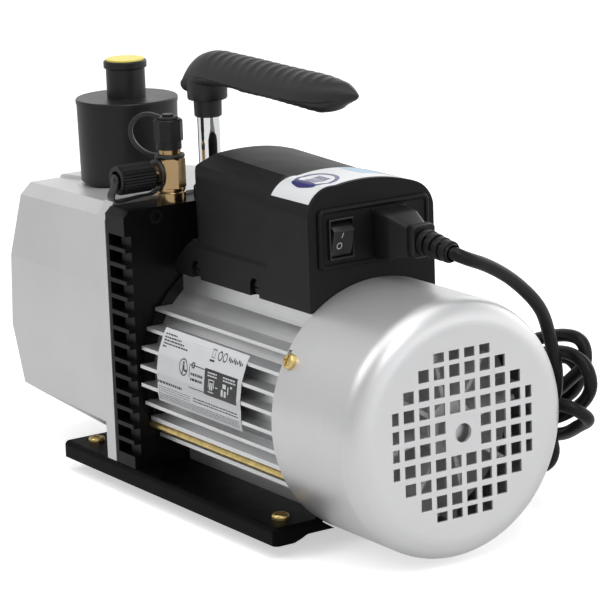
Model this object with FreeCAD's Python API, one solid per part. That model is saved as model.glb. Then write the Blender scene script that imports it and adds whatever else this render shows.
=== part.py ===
import FreeCAD, Part
import math
import os
from FreeCAD import Vector

# Two-stage rotary vane vacuum pump, direct driven, oil sealed.
# Millimetres, +Z up, origin at the middle of the base plate. The shaft lies along X: fan end at
# +X, oil tank at -X, terminal box on top, inlet fitting on the -Y side. Heights are counted from
# a datum GROUND_DROP above the ground; save() lifts every piece so the feet stand on Z = 0.

# ---- driving dimensions: X0 is the -X end of a piece and X1 the +X end, unless noted ----------
GROUND_DROP = 1.5                          # the ground lies this far below the datum
SHAFT_Z = 68.0
BASE_HALF_L, BASE_HALF_W = 107.5, 69.0
BASE_TOP, BASE_LOW, BASE_WALL = 15.7, 6.4, 3.0
BASE_SCREW_X, BASE_SCREW_Y = 92.7, 55.7
FOOT_X, FOOT_Y = 68.0, 45.0                # rubber feet, set in from the skirt
END_SKIRT_Z = 9.5                          # lower edge of the skirt along both ends
BRACKET_X0, BRACKET_X1 = -50.2, -31.0      # tank side and motor side of the pump bracket
BRACKET_HALF_W, BRACKET_TOP = 67.5, 157.0
FLANGE_X, TANK_EDGE_X, TANK_FACE_X = -60.2, -180.0, -198.0  # tank, from its flange towards -X
GASKET_X0 = -51.0                          # tank side of the gasket
FRAME_X0, FRAME_X1 = -29.2, 103.9          # motor frame; the bracket's collar meets FRAME_X0
FRAME_ROOT_R, FRAME_BORE_R = 53.7, 46.5    # fin root and bore
SPIGOT_R = FRAME_BORE_R - 0.02             # whatever fits inside the frame bore
PAD_TOP = 121.5                            # level pad that carries the terminal box
COVER_X0, COVER_X1, COVER_R = FRAME_X1, 174.6, 66.3         # fan cover
COVER_FLAT_R, COVER_WALL = 53.7, 1.3       # radius of its flat end, sheet thickness
COVER_BORE_R = COVER_R - COVER_WALL
GRILLE_PITCH, GRILLE_HOLE = 9.3, 6.3
BOX_X1 = 103.5                             # end face of the terminal box
POST_X, POST_Y, POST_R = -38.5, -7.5, 6.0  # handle post
FILTER_X, FILTER_Y, FILTER_SEAT, FILTER_TOP = -123.6, -8.0, 152.6, 200.8
INLET_X, INLET_Y, SIDE_PORT_Z = -40.0, -32.0, 172.3
MOTOR_SHAFT_R, JOURNAL_R = 7.5, 8.0
SHAFT_X0, SHAFT_X1 = -36.9, 170.0          # motor shaft, pump end and fan end
RUN = 0.05                                 # radial running clearance
BEARING_R, BEARING_W, HUB_R = 17.5, 11.0, 24.0
PUMP_BEARING_X, FAN_BEARING_X = -21.0, 93.0
SEAL_R = 13.0
CORD_R = 3.5
X_AXIS, Y_AXIS, Z_AXIS = Vector(1, 0, 0), Vector(0, 1, 0), Vector(0, 0, 1)
CORNERS = [(sign_x, sign_y) for sign_x in (-1, 1) for sign_y in (-1, 1)]

# fastener places seen along the shaft, (y, z)
ROD_R = 2.3
LOWER_RODS = [(-55.0, 38.9), (55.0, 38.9)]
UPPER_RODS = [(-27.0, 115.6), (27.0, 115.6)]
RODS = LOWER_RODS + UPPER_RODS
TANK_SCREW_R = 2.5
TANK_SCREWS = [(47.0, 151.5), (-47.0, 151.5), (20.0, 21.6), (-20.0, 21.6)]
STAGE_BOLT_R, STAGE_BOLT_OFFSET = 3.0, 23.0
STAGE_BOLTS = [(STAGE_BOLT_OFFSET * sign_y, SHAFT_Z + STAGE_BOLT_OFFSET * sign_z)
               for sign_y, sign_z in CORNERS]

os.makedirs("parts", exist_ok=True)


# ---- helpers ----------------------------------------------------------------------------------
def box(x0, x1, y0, y1, z0, z1):
    return Part.makeBox(x1 - x0, y1 - y0, z1 - z0, Vector(x0, y0, z0))


def side_box(side, x0, x1, y_near, y_far, z0, z1):
    """Box on the +Y side (side 1) or the -Y side (side -1)."""
    y0, y1 = sorted((side * y_near, side * y_far))
    return box(x0, x1, y0, y1, z0, z1)


def cyl_x(radius, x0, x1, y=0.0, z=SHAFT_Z):
    return Part.makeCylinder(radius, x1 - x0, Vector(x0, y, z), X_AXIS)


def cyl_y(radius, y0, y1, x, z):
    return Part.makeCylinder(radius, y1 - y0, Vector(x, y0, z), Y_AXIS)


def side_cyl(side, radius, y_near, y_far, x, z):
    y0, y1 = sorted((side * y_near, side * y_far))
    return cyl_y(radius, y0, y1, x, z)


def cyl_z(radius, z0, z1, x, y):
    return Part.makeCylinder(radius, z1 - z0, Vector(x, y, z0), Z_AXIS)


def cone_z(radius0, radius1, z0, z1, x, y):
    return Part.makeCone(radius0, radius1, z1 - z0, Vector(x, y, z0), Z_AXIS)


def face_of(points):
    return Part.Face(Part.makePolygon(list(points) + [points[0]]))


def prism_x(yz, x0, x1):
    return face_of([Vector(x0, y, z) for y, z in yz]).extrude(Vector(x1 - x0, 0, 0))


def prism_y(xz, y0, y1):
    return face_of([Vector(x, y0, z) for x, z in xz]).extrude(Vector(0, y1 - y0, 0))


def prism_z(xy, z0, z1):
    return face_of([Vector(x, y, z0) for x, y in xy]).extrude(Vector(0, 0, z1 - z0))


def polygon(across_flats, centre_u, centre_v, sides=6, turn=0.0):
    """Corners of a regular polygon, turned by a fraction of one side."""
    radius = across_flats / 2 / math.cos(math.pi / sides)
    angles = [2 * math.pi * (i + turn) / sides for i in range(sides)]
    return [(centre_u + radius * math.cos(angle), centre_v + radius * math.sin(angle))
            for angle in angles]


def mirrored(yz):
    """Closed outline from its +Y half."""
    return list(yz) + [(-y, z) for y, z in reversed(yz)]


def section(yz, x):
    return [(x, y, z) for y, z in yz]


def rectangle(x, y0, y1, z0, z1):
    return section([(y0, z0), (y1, z0), (y1, z1), (y0, z1)], x)


def loft(sections):
    wires = [Part.makePolygon([Vector(*point) for point in points] + [Vector(*points[0])])
             for points in sections]
    return Part.makeLoft(wires, True, True)


def spline_through(points):
    curve = Part.BSplineCurve()
    curve.interpolate([Vector(*point) for point in points])
    return curve


def round_sweep(curve, radius):
    start = curve.FirstParameter
    circle = Part.Circle(curve.value(start), curve.tangent(start)[0], radius)
    ring = Part.Wire([circle.toShape()])
    shape = Part.Wire([curve.toShape()]).makePipeShell([ring], True, True)
    if shape.Volume < 0:
        shape.reverse()
    return shape


def long_sweep(points, radius, step=8):
    """Cord along one smooth curve, in short stretches that share their end faces."""
    curve = spline_through(points)
    knots = [curve.parameter(Vector(*point)) for point in points]
    knots[0], knots[-1] = curve.FirstParameter, curve.LastParameter
    last = len(points) - 1
    cuts = list(range(0, last, step))
    if last - cuts[-1] < 3:
        cuts.pop()
    cuts.append(last)
    pieces = []
    for start, end in zip(cuts, cuts[1:]):
        stretch = curve.copy()
        stretch.segment(knots[start], knots[end])
        pieces.append(round_sweep(stretch, radius))
    return pieces[0].fuse(pieces[1:])


def turned(shape, degrees):
    """Turn a shape made around the X axis, then raise it to the shaft."""
    shape.rotate(Vector(0, 0, 0), X_AXIS, degrees)
    shape.translate(Vector(0, 0, SHAFT_Z))
    return shape


def try_fillet(shape, radius, wanted):
    edges = [edge for edge in shape.Edges if wanted(edge)]
    # guards against a fillet the kernel cannot build: the edges then stay sharp
    try:
        return shape.makeFillet(radius, edges) if edges else shape
    except Exception:
        return shape


def above(z):
    return lambda edge: edge.BoundBox.ZMin > z


def square_to_shaft(edge):
    return edge.BoundBox.XLength < 1e-6


def save(name, *pieces):
    solids = [solid for piece in pieces for solid in piece.Solids]
    shape = solids[0].copy() if len(solids) == 1 else Part.makeCompound(solids)
    shape.translate(Vector(0, 0, GROUND_DROP))
    shape.exportStep("parts/%s.step" % name)


# ---- base plate, feet, base screws ------------------------------------------------------------
# sweep of the end skirt down to each corner, (y, z)
SKIRT_SWEEP = mirrored([(57.5, BASE_LOW - 1), (57.0, BASE_LOW + 0.2), (54.6, BASE_LOW + 0.9),
                        (52.1, BASE_LOW + 1.8), (50.0, END_SKIRT_Z - 0.3), (48.5, END_SKIRT_Z)])


def base_plate():
    height = BASE_TOP - BASE_LOW
    in_l, in_w = BASE_HALF_L - BASE_WALL, BASE_HALF_W - BASE_WALL
    plate = box(-BASE_HALF_L, BASE_HALF_L, -BASE_HALF_W, BASE_HALF_W, BASE_LOW, BASE_TOP)
    plate = try_fillet(plate, 3.0, lambda edge: abs(edge.BoundBox.ZLength - height) < 1e-6)
    plate = try_fillet(plate, 2.8, above(BASE_TOP - 1e-6))
    hollow = box(-in_l, in_l, -in_w, in_w, BASE_LOW - 1, BASE_TOP - BASE_WALL)
    plate = plate.cut(try_fillet(hollow, 2.0, lambda edge: edge.BoundBox.ZLength > 5))
    plate = plate.cut(prism_x(SKIRT_SWEEP, -BASE_HALF_L - 1, -in_l + 1))
    plate = plate.cut(prism_x(SKIRT_SWEEP, in_l - 1, BASE_HALF_L + 1))
    # hollow that clears the fan cover
    plate = plate.cut(cyl_x(COVER_R + 0.8, COVER_X0 - 0.7, BASE_HALF_L + 1))
    for sign_x, sign_y in CORNERS:
        plate = plate.cut(cyl_z(2.6, 0, 20, sign_x * BASE_SCREW_X, sign_y * BASE_SCREW_Y))
    return plate


def rubber_foot(x, y):
    foot = cone_z(8.6, 9.9, -GROUND_DROP, BASE_TOP - BASE_WALL, x, y)
    return foot.cut(cyl_z(4.5, -GROUND_DROP - 1, -GROUND_DROP + 1.5, x, y))


def base_screw(x, y):
    arm, half_slot = 3.2, 0.55         # cross recess
    head = cyl_z(4.6, BASE_TOP, BASE_TOP + 2.6, x, y)
    head = try_fillet(head, 1.6, above(BASE_TOP + 2.5))
    for half_x, half_y in ((arm, half_slot), (half_slot, arm)):
        head = head.cut(box(x - half_x, x + half_x, y - half_y, y + half_y,
                            BASE_TOP + 1.3, BASE_TOP + 4))
    return head.fuse(cyl_z(2.5, 7.0, BASE_TOP + 0.01, x, y))


save("base_plate", base_plate())
save("rubber_feet", *[rubber_foot(sx * FOOT_X, sy * FOOT_Y) for sx, sy in CORNERS])
save("base_screws", *[base_screw(sx * BASE_SCREW_X, sy * BASE_SCREW_Y) for sx, sy in CORNERS])

# ---- pump bracket -----------------------------------------------------------------------------
SLOT_COUNT, SLOT_PITCH, SLOT_H, SLOT_Z0 = 14, 8.8, 6.5, 22.4
SLOT_X0 = -47.6


def pump_bracket():
    outline = mirrored([(BRACKET_HALF_W, BASE_TOP), (BRACKET_HALF_W, BRACKET_TOP - 3.4),
                        (BRACKET_HALF_W - 3.6, BRACKET_TOP)])
    bracket = prism_x(outline, BRACKET_X0, BRACKET_X1)
    for i in range(SLOT_COUNT):        # cooling slots down both sides, deeper behind the edge
        z0 = SLOT_Z0 + i * SLOT_PITCH
        z1 = z0 + SLOT_H
        for side in (-1, 1):
            bracket = bracket.cut(side_box(side, SLOT_X0, BRACKET_X1 + 1, BRACKET_HALF_W - 4.0,
                                           BRACKET_HALF_W + 1, z0, z1))
            bracket = bracket.cut(side_box(side, SLOT_X0, -41.0, BRACKET_HALF_W - 14.0,
                                           BRACKET_HALF_W - 3.9, z0, z1))
    # round collar, spigot that carries the motor frame, bearing hub
    root_x = BRACKET_X1 - 0.5
    bracket = bracket.fuse([cyl_x(60.0, root_x, FRAME_X0), cyl_x(SPIGOT_R, root_x, -24.0),
                            cyl_x(HUB_R, root_x, -10.0)])
    bracket = bracket.cut(cyl_x(41.0, -30.0, -20.0).cut(cyl_x(HUB_R, -31, -19)))
    bracket = bracket.cut(cyl_x(BEARING_R, PUMP_BEARING_X, -9.0))
    bracket = bracket.cut(cyl_x(15.5, -44.0, -20.0))       # coupling chamber
    bracket = bracket.cut(cyl_x(SEAL_R, -51.0, -43.0))
    for y, z in RODS:
        bracket = bracket.cut(cyl_x(ROD_R, -48.0, -28.0, y, z))
        bracket = bracket.cut(cyl_x(4.2, -51.0, -45.0, y, z))
    for y, z in TANK_SCREWS:
        bracket = bracket.cut(cyl_x(TANK_SCREW_R, -51, -28, y, z))
        bracket = bracket.cut(cyl_x(4.4, -36.0, -28, y, z))
    for y, z in STAGE_BOLTS:
        bracket = bracket.cut(cyl_x(STAGE_BOLT_R, -51, -38.0, y, z))
    bracket = bracket.cut(cyl_z(POST_R, 137.0, 160.0, POST_X, POST_Y))
    bracket = bracket.cut(cyl_z(6.0, 145.0, 160.0, INLET_X, INLET_Y))
    # intake passage from the inlet down to the high stage
    passage_top = Vector(INLET_X, INLET_Y, 146.0)
    passage_end = Vector(INLET_X, INLET_Y + 18.0, SHAFT_Z + 12.0)
    run = passage_end - passage_top
    bracket = bracket.cut(Part.makeCylinder(3.0, run.Length, passage_top, run))
    bracket = bracket.cut(Part.makeCylinder(3.0, 12.0, passage_end, Vector(-1, 0, 0)))
    # the collar ends at the base plate
    return bracket.cut(box(BRACKET_X1 - 0.6, FRAME_X0 + 1, -61, 61, 0, BASE_TOP))


save("pump_bracket", pump_bracket())

# ---- oil tank ---------------------------------------------------------------------------------
# outlines across the shaft, (y, z), of the outside and the cavity: at the flange, at the edge
# round the end face, and at the end face itself
OUTER_FLANGE = mirrored([(60.8, 157.4), (65.6, 150.8), (66.3, 110.9), (66.4, 72.0),
                         (65.9, 35.0), (50.0, 22.0)])
OUTER_EDGE = mirrored([(41.3, 148.5), (48.3, 142.1), (56.7, 108.2), (58.3, 67.3),
                       (52.3, 31.6), (40.0, 23.0)])
OUTER_FACE = mirrored([(30.0, 138.5), (36.5, 133.0), (44.8, 104.0), (46.0, 69.0),
                       (41.0, 41.5), (31.0, 34.5)])
CAVITY_FLANGE = mirrored([(53.0, 147.0), (59.5, 141.0), (61.0, 110.0), (61.0, 72.0),
                          (60.5, 39.0), (46.0, 27.6)])
CAVITY_EDGE = mirrored([(37.0, 143.5), (43.5, 137.5), (51.6, 106.5), (53.0, 67.5),
                        (47.5, 35.5), (36.5, 28.0)])
CAVITY_FACE = mirrored([(26.5, 134.5), (32.5, 129.5), (40.3, 102.5), (41.4, 69.5),
                        (36.8, 45.0), (28.0, 39.0)])
# raised rib from the edge to the filter seat, (x, z)
RIB_XZ = [(-181.5, 120.0), (-181.5, 149.4), (-178.5, 150.6), (-120.0, 155.0), (-120.0, 120.0)]
GLASS_Z, GLASS_R = 92.0, 11.0
DRAIN_Z = 54.0


def tapered(flange, edge, face, flange_x, edge_x, face_x):
    body = loft([section(flange, flange_x), section(edge, edge_x)])
    return body.fuse(loft([section(edge, edge_x), section(face, face_x)]))


def oil_tank():
    tank = tapered(OUTER_FLANGE, OUTER_EDGE, OUTER_FACE, FLANGE_X, TANK_EDGE_X, TANK_FACE_X)
    flange = [(BRACKET_HALF_W, BASE_TOP), (BRACKET_HALF_W, 149.5), (61.5, 158.6)]
    tank = tank.fuse(prism_x(mirrored(flange), FLANGE_X, GASKET_X0))
    tank = tank.fuse([prism_y(RIB_XZ, -21.0, 5.0),
                      cyl_z(29.5, 140.0, FILTER_SEAT, FILTER_X, FILTER_Y)])
    cavity = tapered(CAVITY_FLANGE, CAVITY_EDGE, CAVITY_FACE, FLANGE_X, -176.0, -193.0)
    cavity = cavity.fuse(prism_x(CAVITY_FLANGE, FLANGE_X - 0.01, -50.0))
    tank = tank.cut(cavity).cut(cyl_z(29.5, FILTER_SEAT, 170.0, FILTER_X, FILTER_Y))
    tank = tank.cut(cyl_z(13.1, 130.0, 170.0, FILTER_X, FILTER_Y))
    tank = tank.fuse([cyl_x(9.5, -197.0, -189.0, 0, DRAIN_Z)])
    tank = tank.cut(cyl_x(GLASS_R, -200, -190, 0, GLASS_Z))
    tank = tank.cut(cyl_x(4.1, -200, -185, 0, DRAIN_Z))
    for y, z in TANK_SCREWS:
        tank = tank.cut(cyl_x(TANK_SCREW_R, -58.0, -50, y, z))
    return tank.removeSplitter()


def tank_gasket():
    half_w = BRACKET_HALF_W - 0.6
    outline = mirrored([(half_w, BASE_TOP + 0.3), (half_w, 149.5), (61.5, 156.6)])
    gasket = prism_x(outline, GASKET_X0, BRACKET_X0).cut(prism_x(CAVITY_FLANGE, -52, -50))
    for y, z in TANK_SCREWS:
        gasket = gasket.cut(cyl_x(TANK_SCREW_R, -52.0, -50, y, z))
    return gasket


def tank_screw(y, z):
    screw = cyl_x(TANK_SCREW_R, -57.5, -34.9, y, z).fuse(cyl_x(4.2, -35.0, -31.5, y, z))
    return screw.cut(prism_x(polygon(4.0, y, z), -34.0, -31))


def sight_glass_bezel():
    bezel = cyl_x(16.0, -202.0, TANK_FACE_X, 0, GLASS_Z)
    bezel = bezel.cut(cyl_x(GLASS_R, -203, -197, 0, GLASS_Z))
    return try_fillet(bezel, 1.5, lambda edge: edge.BoundBox.XMax < -201.9
                      and edge.BoundBox.ZLength > 30)


save("oil_tank", oil_tank())
save("tank_gasket", tank_gasket())
save("tank_screws", *[tank_screw(y, z) for y, z in TANK_SCREWS])
save("sight_glass_bezel", sight_glass_bezel())
save("sight_glass", cyl_x(GLASS_R, -200.5, -194.5, 0, GLASS_Z))
save("drain_washer", cyl_x(8.2, -199.4, TANK_FACE_X, 0, DRAIN_Z).cut(
    cyl_x(4.15, -200, -197, 0, DRAIN_Z)))
save("drain_plug", prism_x(polygon(13.0, 0, DRAIN_Z), -205.4, -199.4).fuse(
    cyl_x(4.0, -199.5, -189.5, 0, DRAIN_Z)))

# ---- motor frame and stator -------------------------------------------------------------------
# level cooling fins: half width, height of the middle, thickness
FINS = [(51.7, 102.2, 2.0), (57.4, 92.3, 2.0), (61.1, 82.4, 2.0), (62.4, 72.6, 2.0),
        (62.3, 62.4, 2.0), (60.5, 52.0, 2.0), (57.3, 43.0, 2.4), (52.2, 33.0, 2.2)]
CORE_X0, CORE_X1, STATOR_SLOTS = 5.0, 75.0, 24


def motor_frame():
    start, end = FRAME_X0 - 1, FRAME_X1 + 1                # reach of the cuts
    pad_half_w, foot_half_w = 33.3, 34.0
    frame = cyl_x(FRAME_ROOT_R, FRAME_X0, FRAME_X1)
    frame = frame.fuse(
        [box(FRAME_X0, FRAME_X1, -half_w, half_w, z - thick / 2, z + thick / 2)
         for half_w, z, thick in FINS]
        + [box(FRAME_X0, FRAME_X1, -pad_half_w, pad_half_w, 100.0, PAD_TOP),
           box(FRAME_X0, FRAME_X1, -foot_half_w, foot_half_w, BASE_TOP, 40.0)])
    frame = frame.cut(cyl_x(FRAME_BORE_R, start, end))
    frame = frame.cut(box(start, end, -17.0, 17.0, BASE_TOP - 1, BASE_TOP + 2.5))
    for y, z in UPPER_RODS:
        frame = frame.cut(cyl_x(2.5, start, end, y, z))
    frame = frame.cut(box(20, 60, -10, 10, 112, 125))      # lead-through to the terminal box
    frame = frame.cut(box(start, end, -60, 60, 0, BASE_TOP))
    frame = frame.cut(box(start, end, -40, 40, PAD_TOP, PAD_TOP + 5))
    return frame.removeSplitter()


def stator_core():
    core = cyl_x(SPIGOT_R, CORE_X0, CORE_X1).cut(cyl_x(30.0, CORE_X0 - 1, CORE_X1 + 1))
    for i in range(STATOR_SLOTS):
        slot = box(CORE_X0 - 1, CORE_X1 + 1, -1.6, 1.6, 29.0, 40.0)
        core = core.cut(turned(slot, 360.0 * i / STATOR_SLOTS))
    return core


def end_winding(x0, x1):
    ring = cyl_x(44.0, x0, x1).cut(cyl_x(31.5, x0 - 1, x1 + 1))
    return try_fillet(ring, 3.5, square_to_shaft)


save("motor_frame", motor_frame())
save("tie_rods", *[cyl_x(ROD_R, -46.0, 112.0, y, z).fuse(cyl_x(4.0, -49.5, -45.9, y, z))
                   for y, z in RODS])
save("stator_core", stator_core())
save("stator_windings", end_winding(-9.0, CORE_X0), end_winding(CORE_X1, 89.0))

# ---- fan-end bearing shield and fan cover -----------------------------------------------------
COVER_SCREW_X = 110.0
COVER_SCREW_ANGLES = (150, 30, 270)        # degrees from +Y towards +Z
COVER_SHOULDER = COVER_R - COVER_FLAT_R
# grille holes: distance of a row from the middle -> furthest column, both in pitches
GRILLE_REACH = {4.5: 1.5, 3.5: 2.5, 2.5: 3.5, 1.5: 4.5, 0.5: 4.5}
OUTER_ROW, OUTER_COLUMN = (37.9, 42.8), (38.7, 42.6)       # shorter holes round the rim


def outward(angle):
    return Vector(0, math.cos(math.radians(angle)), math.sin(math.radians(angle)))


def radial(radius, reach0, reach1, angle):
    """Cylinder pointing away from the shaft at the cover screws."""
    start = Vector(COVER_SCREW_X, 0, SHAFT_Z) + outward(angle) * reach0
    return Part.makeCylinder(radius, reach1 - reach0, start, outward(angle))


def motor_end_shield():
    shield = cyl_x(COVER_BORE_R - 0.05, FRAME_X1, 114.0).cut(cyl_x(57.5, 107.2, 115.0))
    shield = shield.fuse([cyl_x(HUB_R, 92.0, 108.6), cyl_x(SPIGOT_R, 99.0, FRAME_X1 + 0.1)])
    shield = shield.cut(cyl_x(42.0, 98.0, FRAME_X1).cut(cyl_x(HUB_R, 90, 110)))
    shield = shield.cut(cyl_x(BEARING_R, 91.0, FAN_BEARING_X + BEARING_W))
    shield = shield.cut(cyl_x(9.0, 90, 112))
    for i in range(6):
        centre = outward(60 * i) * 34.0
        shield = shield.cut(cyl_x(7.0, 100, 112, centre.y, SHAFT_Z + centre.z))
    for y, z in RODS:
        shield = shield.cut(cyl_x(ROD_R, 100, 116, y, z))
    for angle in COVER_SCREW_ANGLES:
        shield = shield.cut(radial(2.0, 56.0, 67.0, angle))
    return shield


def cup(x0, x1, radius, shoulder):
    """Solid of revolution about the shaft with a rounded shoulder at its +X end."""
    diagonal = shoulder * math.sqrt(0.5)
    turn_x, turn_z = x1 - shoulder, SHAFT_Z + radius - shoulder
    back, rim = Vector(x0, 0, SHAFT_Z), Vector(x0, 0, SHAFT_Z + radius)
    arc_start, arc_end = Vector(turn_x, 0, SHAFT_Z + radius), Vector(x1, 0, turn_z)
    arc_middle = Vector(turn_x + diagonal, 0, turn_z + diagonal)
    tip = Vector(x1, 0, SHAFT_Z)
    wire = Part.Wire([Part.makeLine(back, rim), Part.makeLine(rim, arc_start),
                      Part.Arc(arc_start, arc_middle, arc_end).toShape(),
                      Part.makeLine(arc_end, tip), Part.makeLine(tip, back)])
    return Part.Face(wire).revolve(back, X_AXIS, 360)


def grille_span(place, outer):
    """Edges of a hole that lies this many pitches from the middle."""
    if abs(place) == 4.5:
        return sorted(math.copysign(edge, place) for edge in outer)
    return place * GRILLE_PITCH - GRILLE_HOLE / 2, place * GRILLE_PITCH + GRILLE_HOLE / 2


def fan_cover():
    cover = cup(COVER_X0, COVER_X1, COVER_R, COVER_SHOULDER)
    cover = cover.cut(cup(COVER_X0 - 1, COVER_X1 - COVER_WALL, COVER_BORE_R,
                          COVER_SHOULDER - COVER_WALL))
    holes = []
    for i in range(10):
        for j in range(10):
            column, row = i - 4.5, j - 4.5
            in_middle = abs(column) == 0.5 and abs(row) == 0.5
            if abs(column) > GRILLE_REACH[abs(row)] or in_middle:
                continue
            y0, y1 = grille_span(column, OUTER_COLUMN)
            z0, z1 = grille_span(row, OUTER_ROW)
            holes.append(box(168, 178, y0, y1, SHAFT_Z + z0, SHAFT_Z + z1))
    holes.append(cyl_x(4.85, 168, 178))
    cover = cover.cut(Part.makeCompound(holes))
    for angle in COVER_SCREW_ANGLES:
        cover = cover.cut(radial(2.05, 60.0, 70.0, angle))
    # small slot above the -Y screw
    return cover.cut(box(104.5, 107.0, -66.0, -50.0, SHAFT_Z + 36.0, SHAFT_Z + 38.0))


def cover_screw(angle):
    centre = Vector(COVER_SCREW_X, 0, SHAFT_Z)
    head = radial(4.1, COVER_R + 0.02, COVER_R + 2.6, angle)
    head = try_fillet(head, 1.3, lambda edge: outward(angle).dot(
        edge.BoundBox.Center - centre) > COVER_R + 2.0)
    arms = [box(COVER_SCREW_X - half_x, COVER_SCREW_X + half_x, -half_y, half_y,
                COVER_R + 1.3, COVER_R + 4) for half_x, half_y in ((3.0, 0.5), (0.5, 3.0))]
    cross = turned(arms[0].fuse(arms[1]), angle - 90)
    return head.cut(cross).fuse(radial(1.98, 58.0, COVER_R + 0.1, angle))


save("motor_end_shield", motor_end_shield())
save("fan_cover", fan_cover())
save("cover_screws", *[cover_screw(angle) for angle in COVER_SCREW_ANGLES])

# ---- terminal box -----------------------------------------------------------------------------
BOX_X0 = -25.0                             # skirt at the pump end
WALL_X0 = -8.0                             # upright wall at the pump end
BOX_Y0, BOX_Y1 = -39.0, 37.0
BOX_IN_Y0, BOX_IN_Y1 = -36.5, 34.5
HOUSING_Y0 = -40.4                         # -Y face of the skirt and of the fan-end housing
WAIST_Z = 141.5                            # the upright walls rise from here
BOX_SCREW_XS, BOX_SCREW_Z = (-4.0, 52.5), 126.0
# raised panel on the end face, (y, z)
PANEL_YZ = [(-33.4, 142.6), (30.6, 142.6), (32.1, 144.1), (32.1, 171.7), (30.6, 173.2),
            (-33.4, 173.2), (-34.9, 171.7), (-34.9, 144.1)]
PANEL_X = BOX_X1 + 1.0                     # outer face of the panel
SWITCH_Y0, SWITCH_Y1, SWITCH_Z0, SWITCH_Z1 = -29.2, -14.0, 147.3, 168.3    # switch bezel
INLET_BOX = (-2.5, 18.5, 143.8, 170.0)     # power inlet: y0, y1, z0, z1


def arch_wire(x, y0, y1, z_low, rise, soft):
    """Arched section: straight sides, a shoulder on the -Y side, a crowned top."""
    def point(y, z):
        return Vector(x, y, z + rise)

    low_left, low_right = Vector(x, y0, z_low), Vector(x, y1, z_low)
    left, right = point(y0, 170.0), point(y1, 167.0)
    if soft:
        crown_left, shoulder = point(-24.0, 184.2), point(y0 + 4.0, 179.4)
        left_edges = [Part.Arc(left, point(y0 + 0.9, 175.2), shoulder).toShape(),
                      Part.makeLine(shoulder, crown_left)]
    else:
        crown_left = point(-22.0, 184.0)
        left_edges = [Part.Arc(left, point(y0 + 3.4, 178.0), crown_left).toShape()]
    crown_right = point(24.0, 180.6)
    return Part.Wire([Part.makeLine(low_left, left)] + left_edges + [
        Part.Arc(crown_left, point(-1.0, 185.2), crown_right).toShape(),
        Part.Arc(crown_right, point(y1 - 4.0, 175.4), right).toShape(),
        Part.makeLine(right, low_right), Part.makeLine(low_right, low_left)])


def arch(x0, x1, y0, y1, z_low, rise, soft):
    return Part.Face(arch_wire(x0, y0, y1, z_low, rise, soft)).extrude(Vector(x1 - x0, 0, 0))


def side_profile(x_skirt, x_wall, x1, z_low, rise):
    """Side view of the box, extruded across its whole width."""
    def point(x, z):
        return Vector(x, -45, z)

    points = [point(x_skirt, z_low), point(x_skirt, z_low + 5.5 + rise),
              point(x_wall - 1.0, 141.5 + rise), point(x_wall, 144.0 + rise),
              point(x_wall + 0.6, 180.0 + rise)]
    edges = [Part.makeLine(start, end) for start, end in zip(points, points[1:])]
    roof_start, roof_end = point(x_wall + 7.0, 190.0 + rise), point(x1, 190.0 + rise)
    low_end = point(x1, z_low)
    edges.append(Part.Arc(points[-1], point(x_wall + 2.2, 185.8 + rise), roof_start).toShape())
    edges += [Part.makeLine(roof_start, roof_end), Part.makeLine(roof_end, low_end),
              Part.makeLine(low_end, points[0])]
    return Part.Face(Part.Wire(edges)).extrude(Vector(0, 90, 0))


def round_pump_end(shape, radius, x_limit):
    return try_fillet(shape, radius, lambda edge: edge.BoundBox.ZLength > 50
                      and edge.BoundBox.XMax < x_limit)


def box_cavity():
    end_x, low_z = BOX_X1 - 2.5, PAD_TOP - 1
    cavity = arch(-22.0, end_x, BOX_IN_Y0, BOX_IN_Y1, low_z, -3.2, True)
    cavity = cavity.common(side_profile(-22.0, WALL_X0 + 2.5, end_x, low_z, -2.5))
    upper = box(WALL_X0 + 1.5, BOX_X1 - 2.0, BOX_IN_Y0, BOX_IN_Y1, 139.0, 200.0)
    upper = round_pump_end(upper, 6.0, WALL_X0 + 2.5)
    return cavity.common(upper.fuse(
        box(-23.0, BOX_X1 - 2.0, BOX_IN_Y0, BOX_IN_Y1, PAD_TOP - 2, 139.1)))


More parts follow.
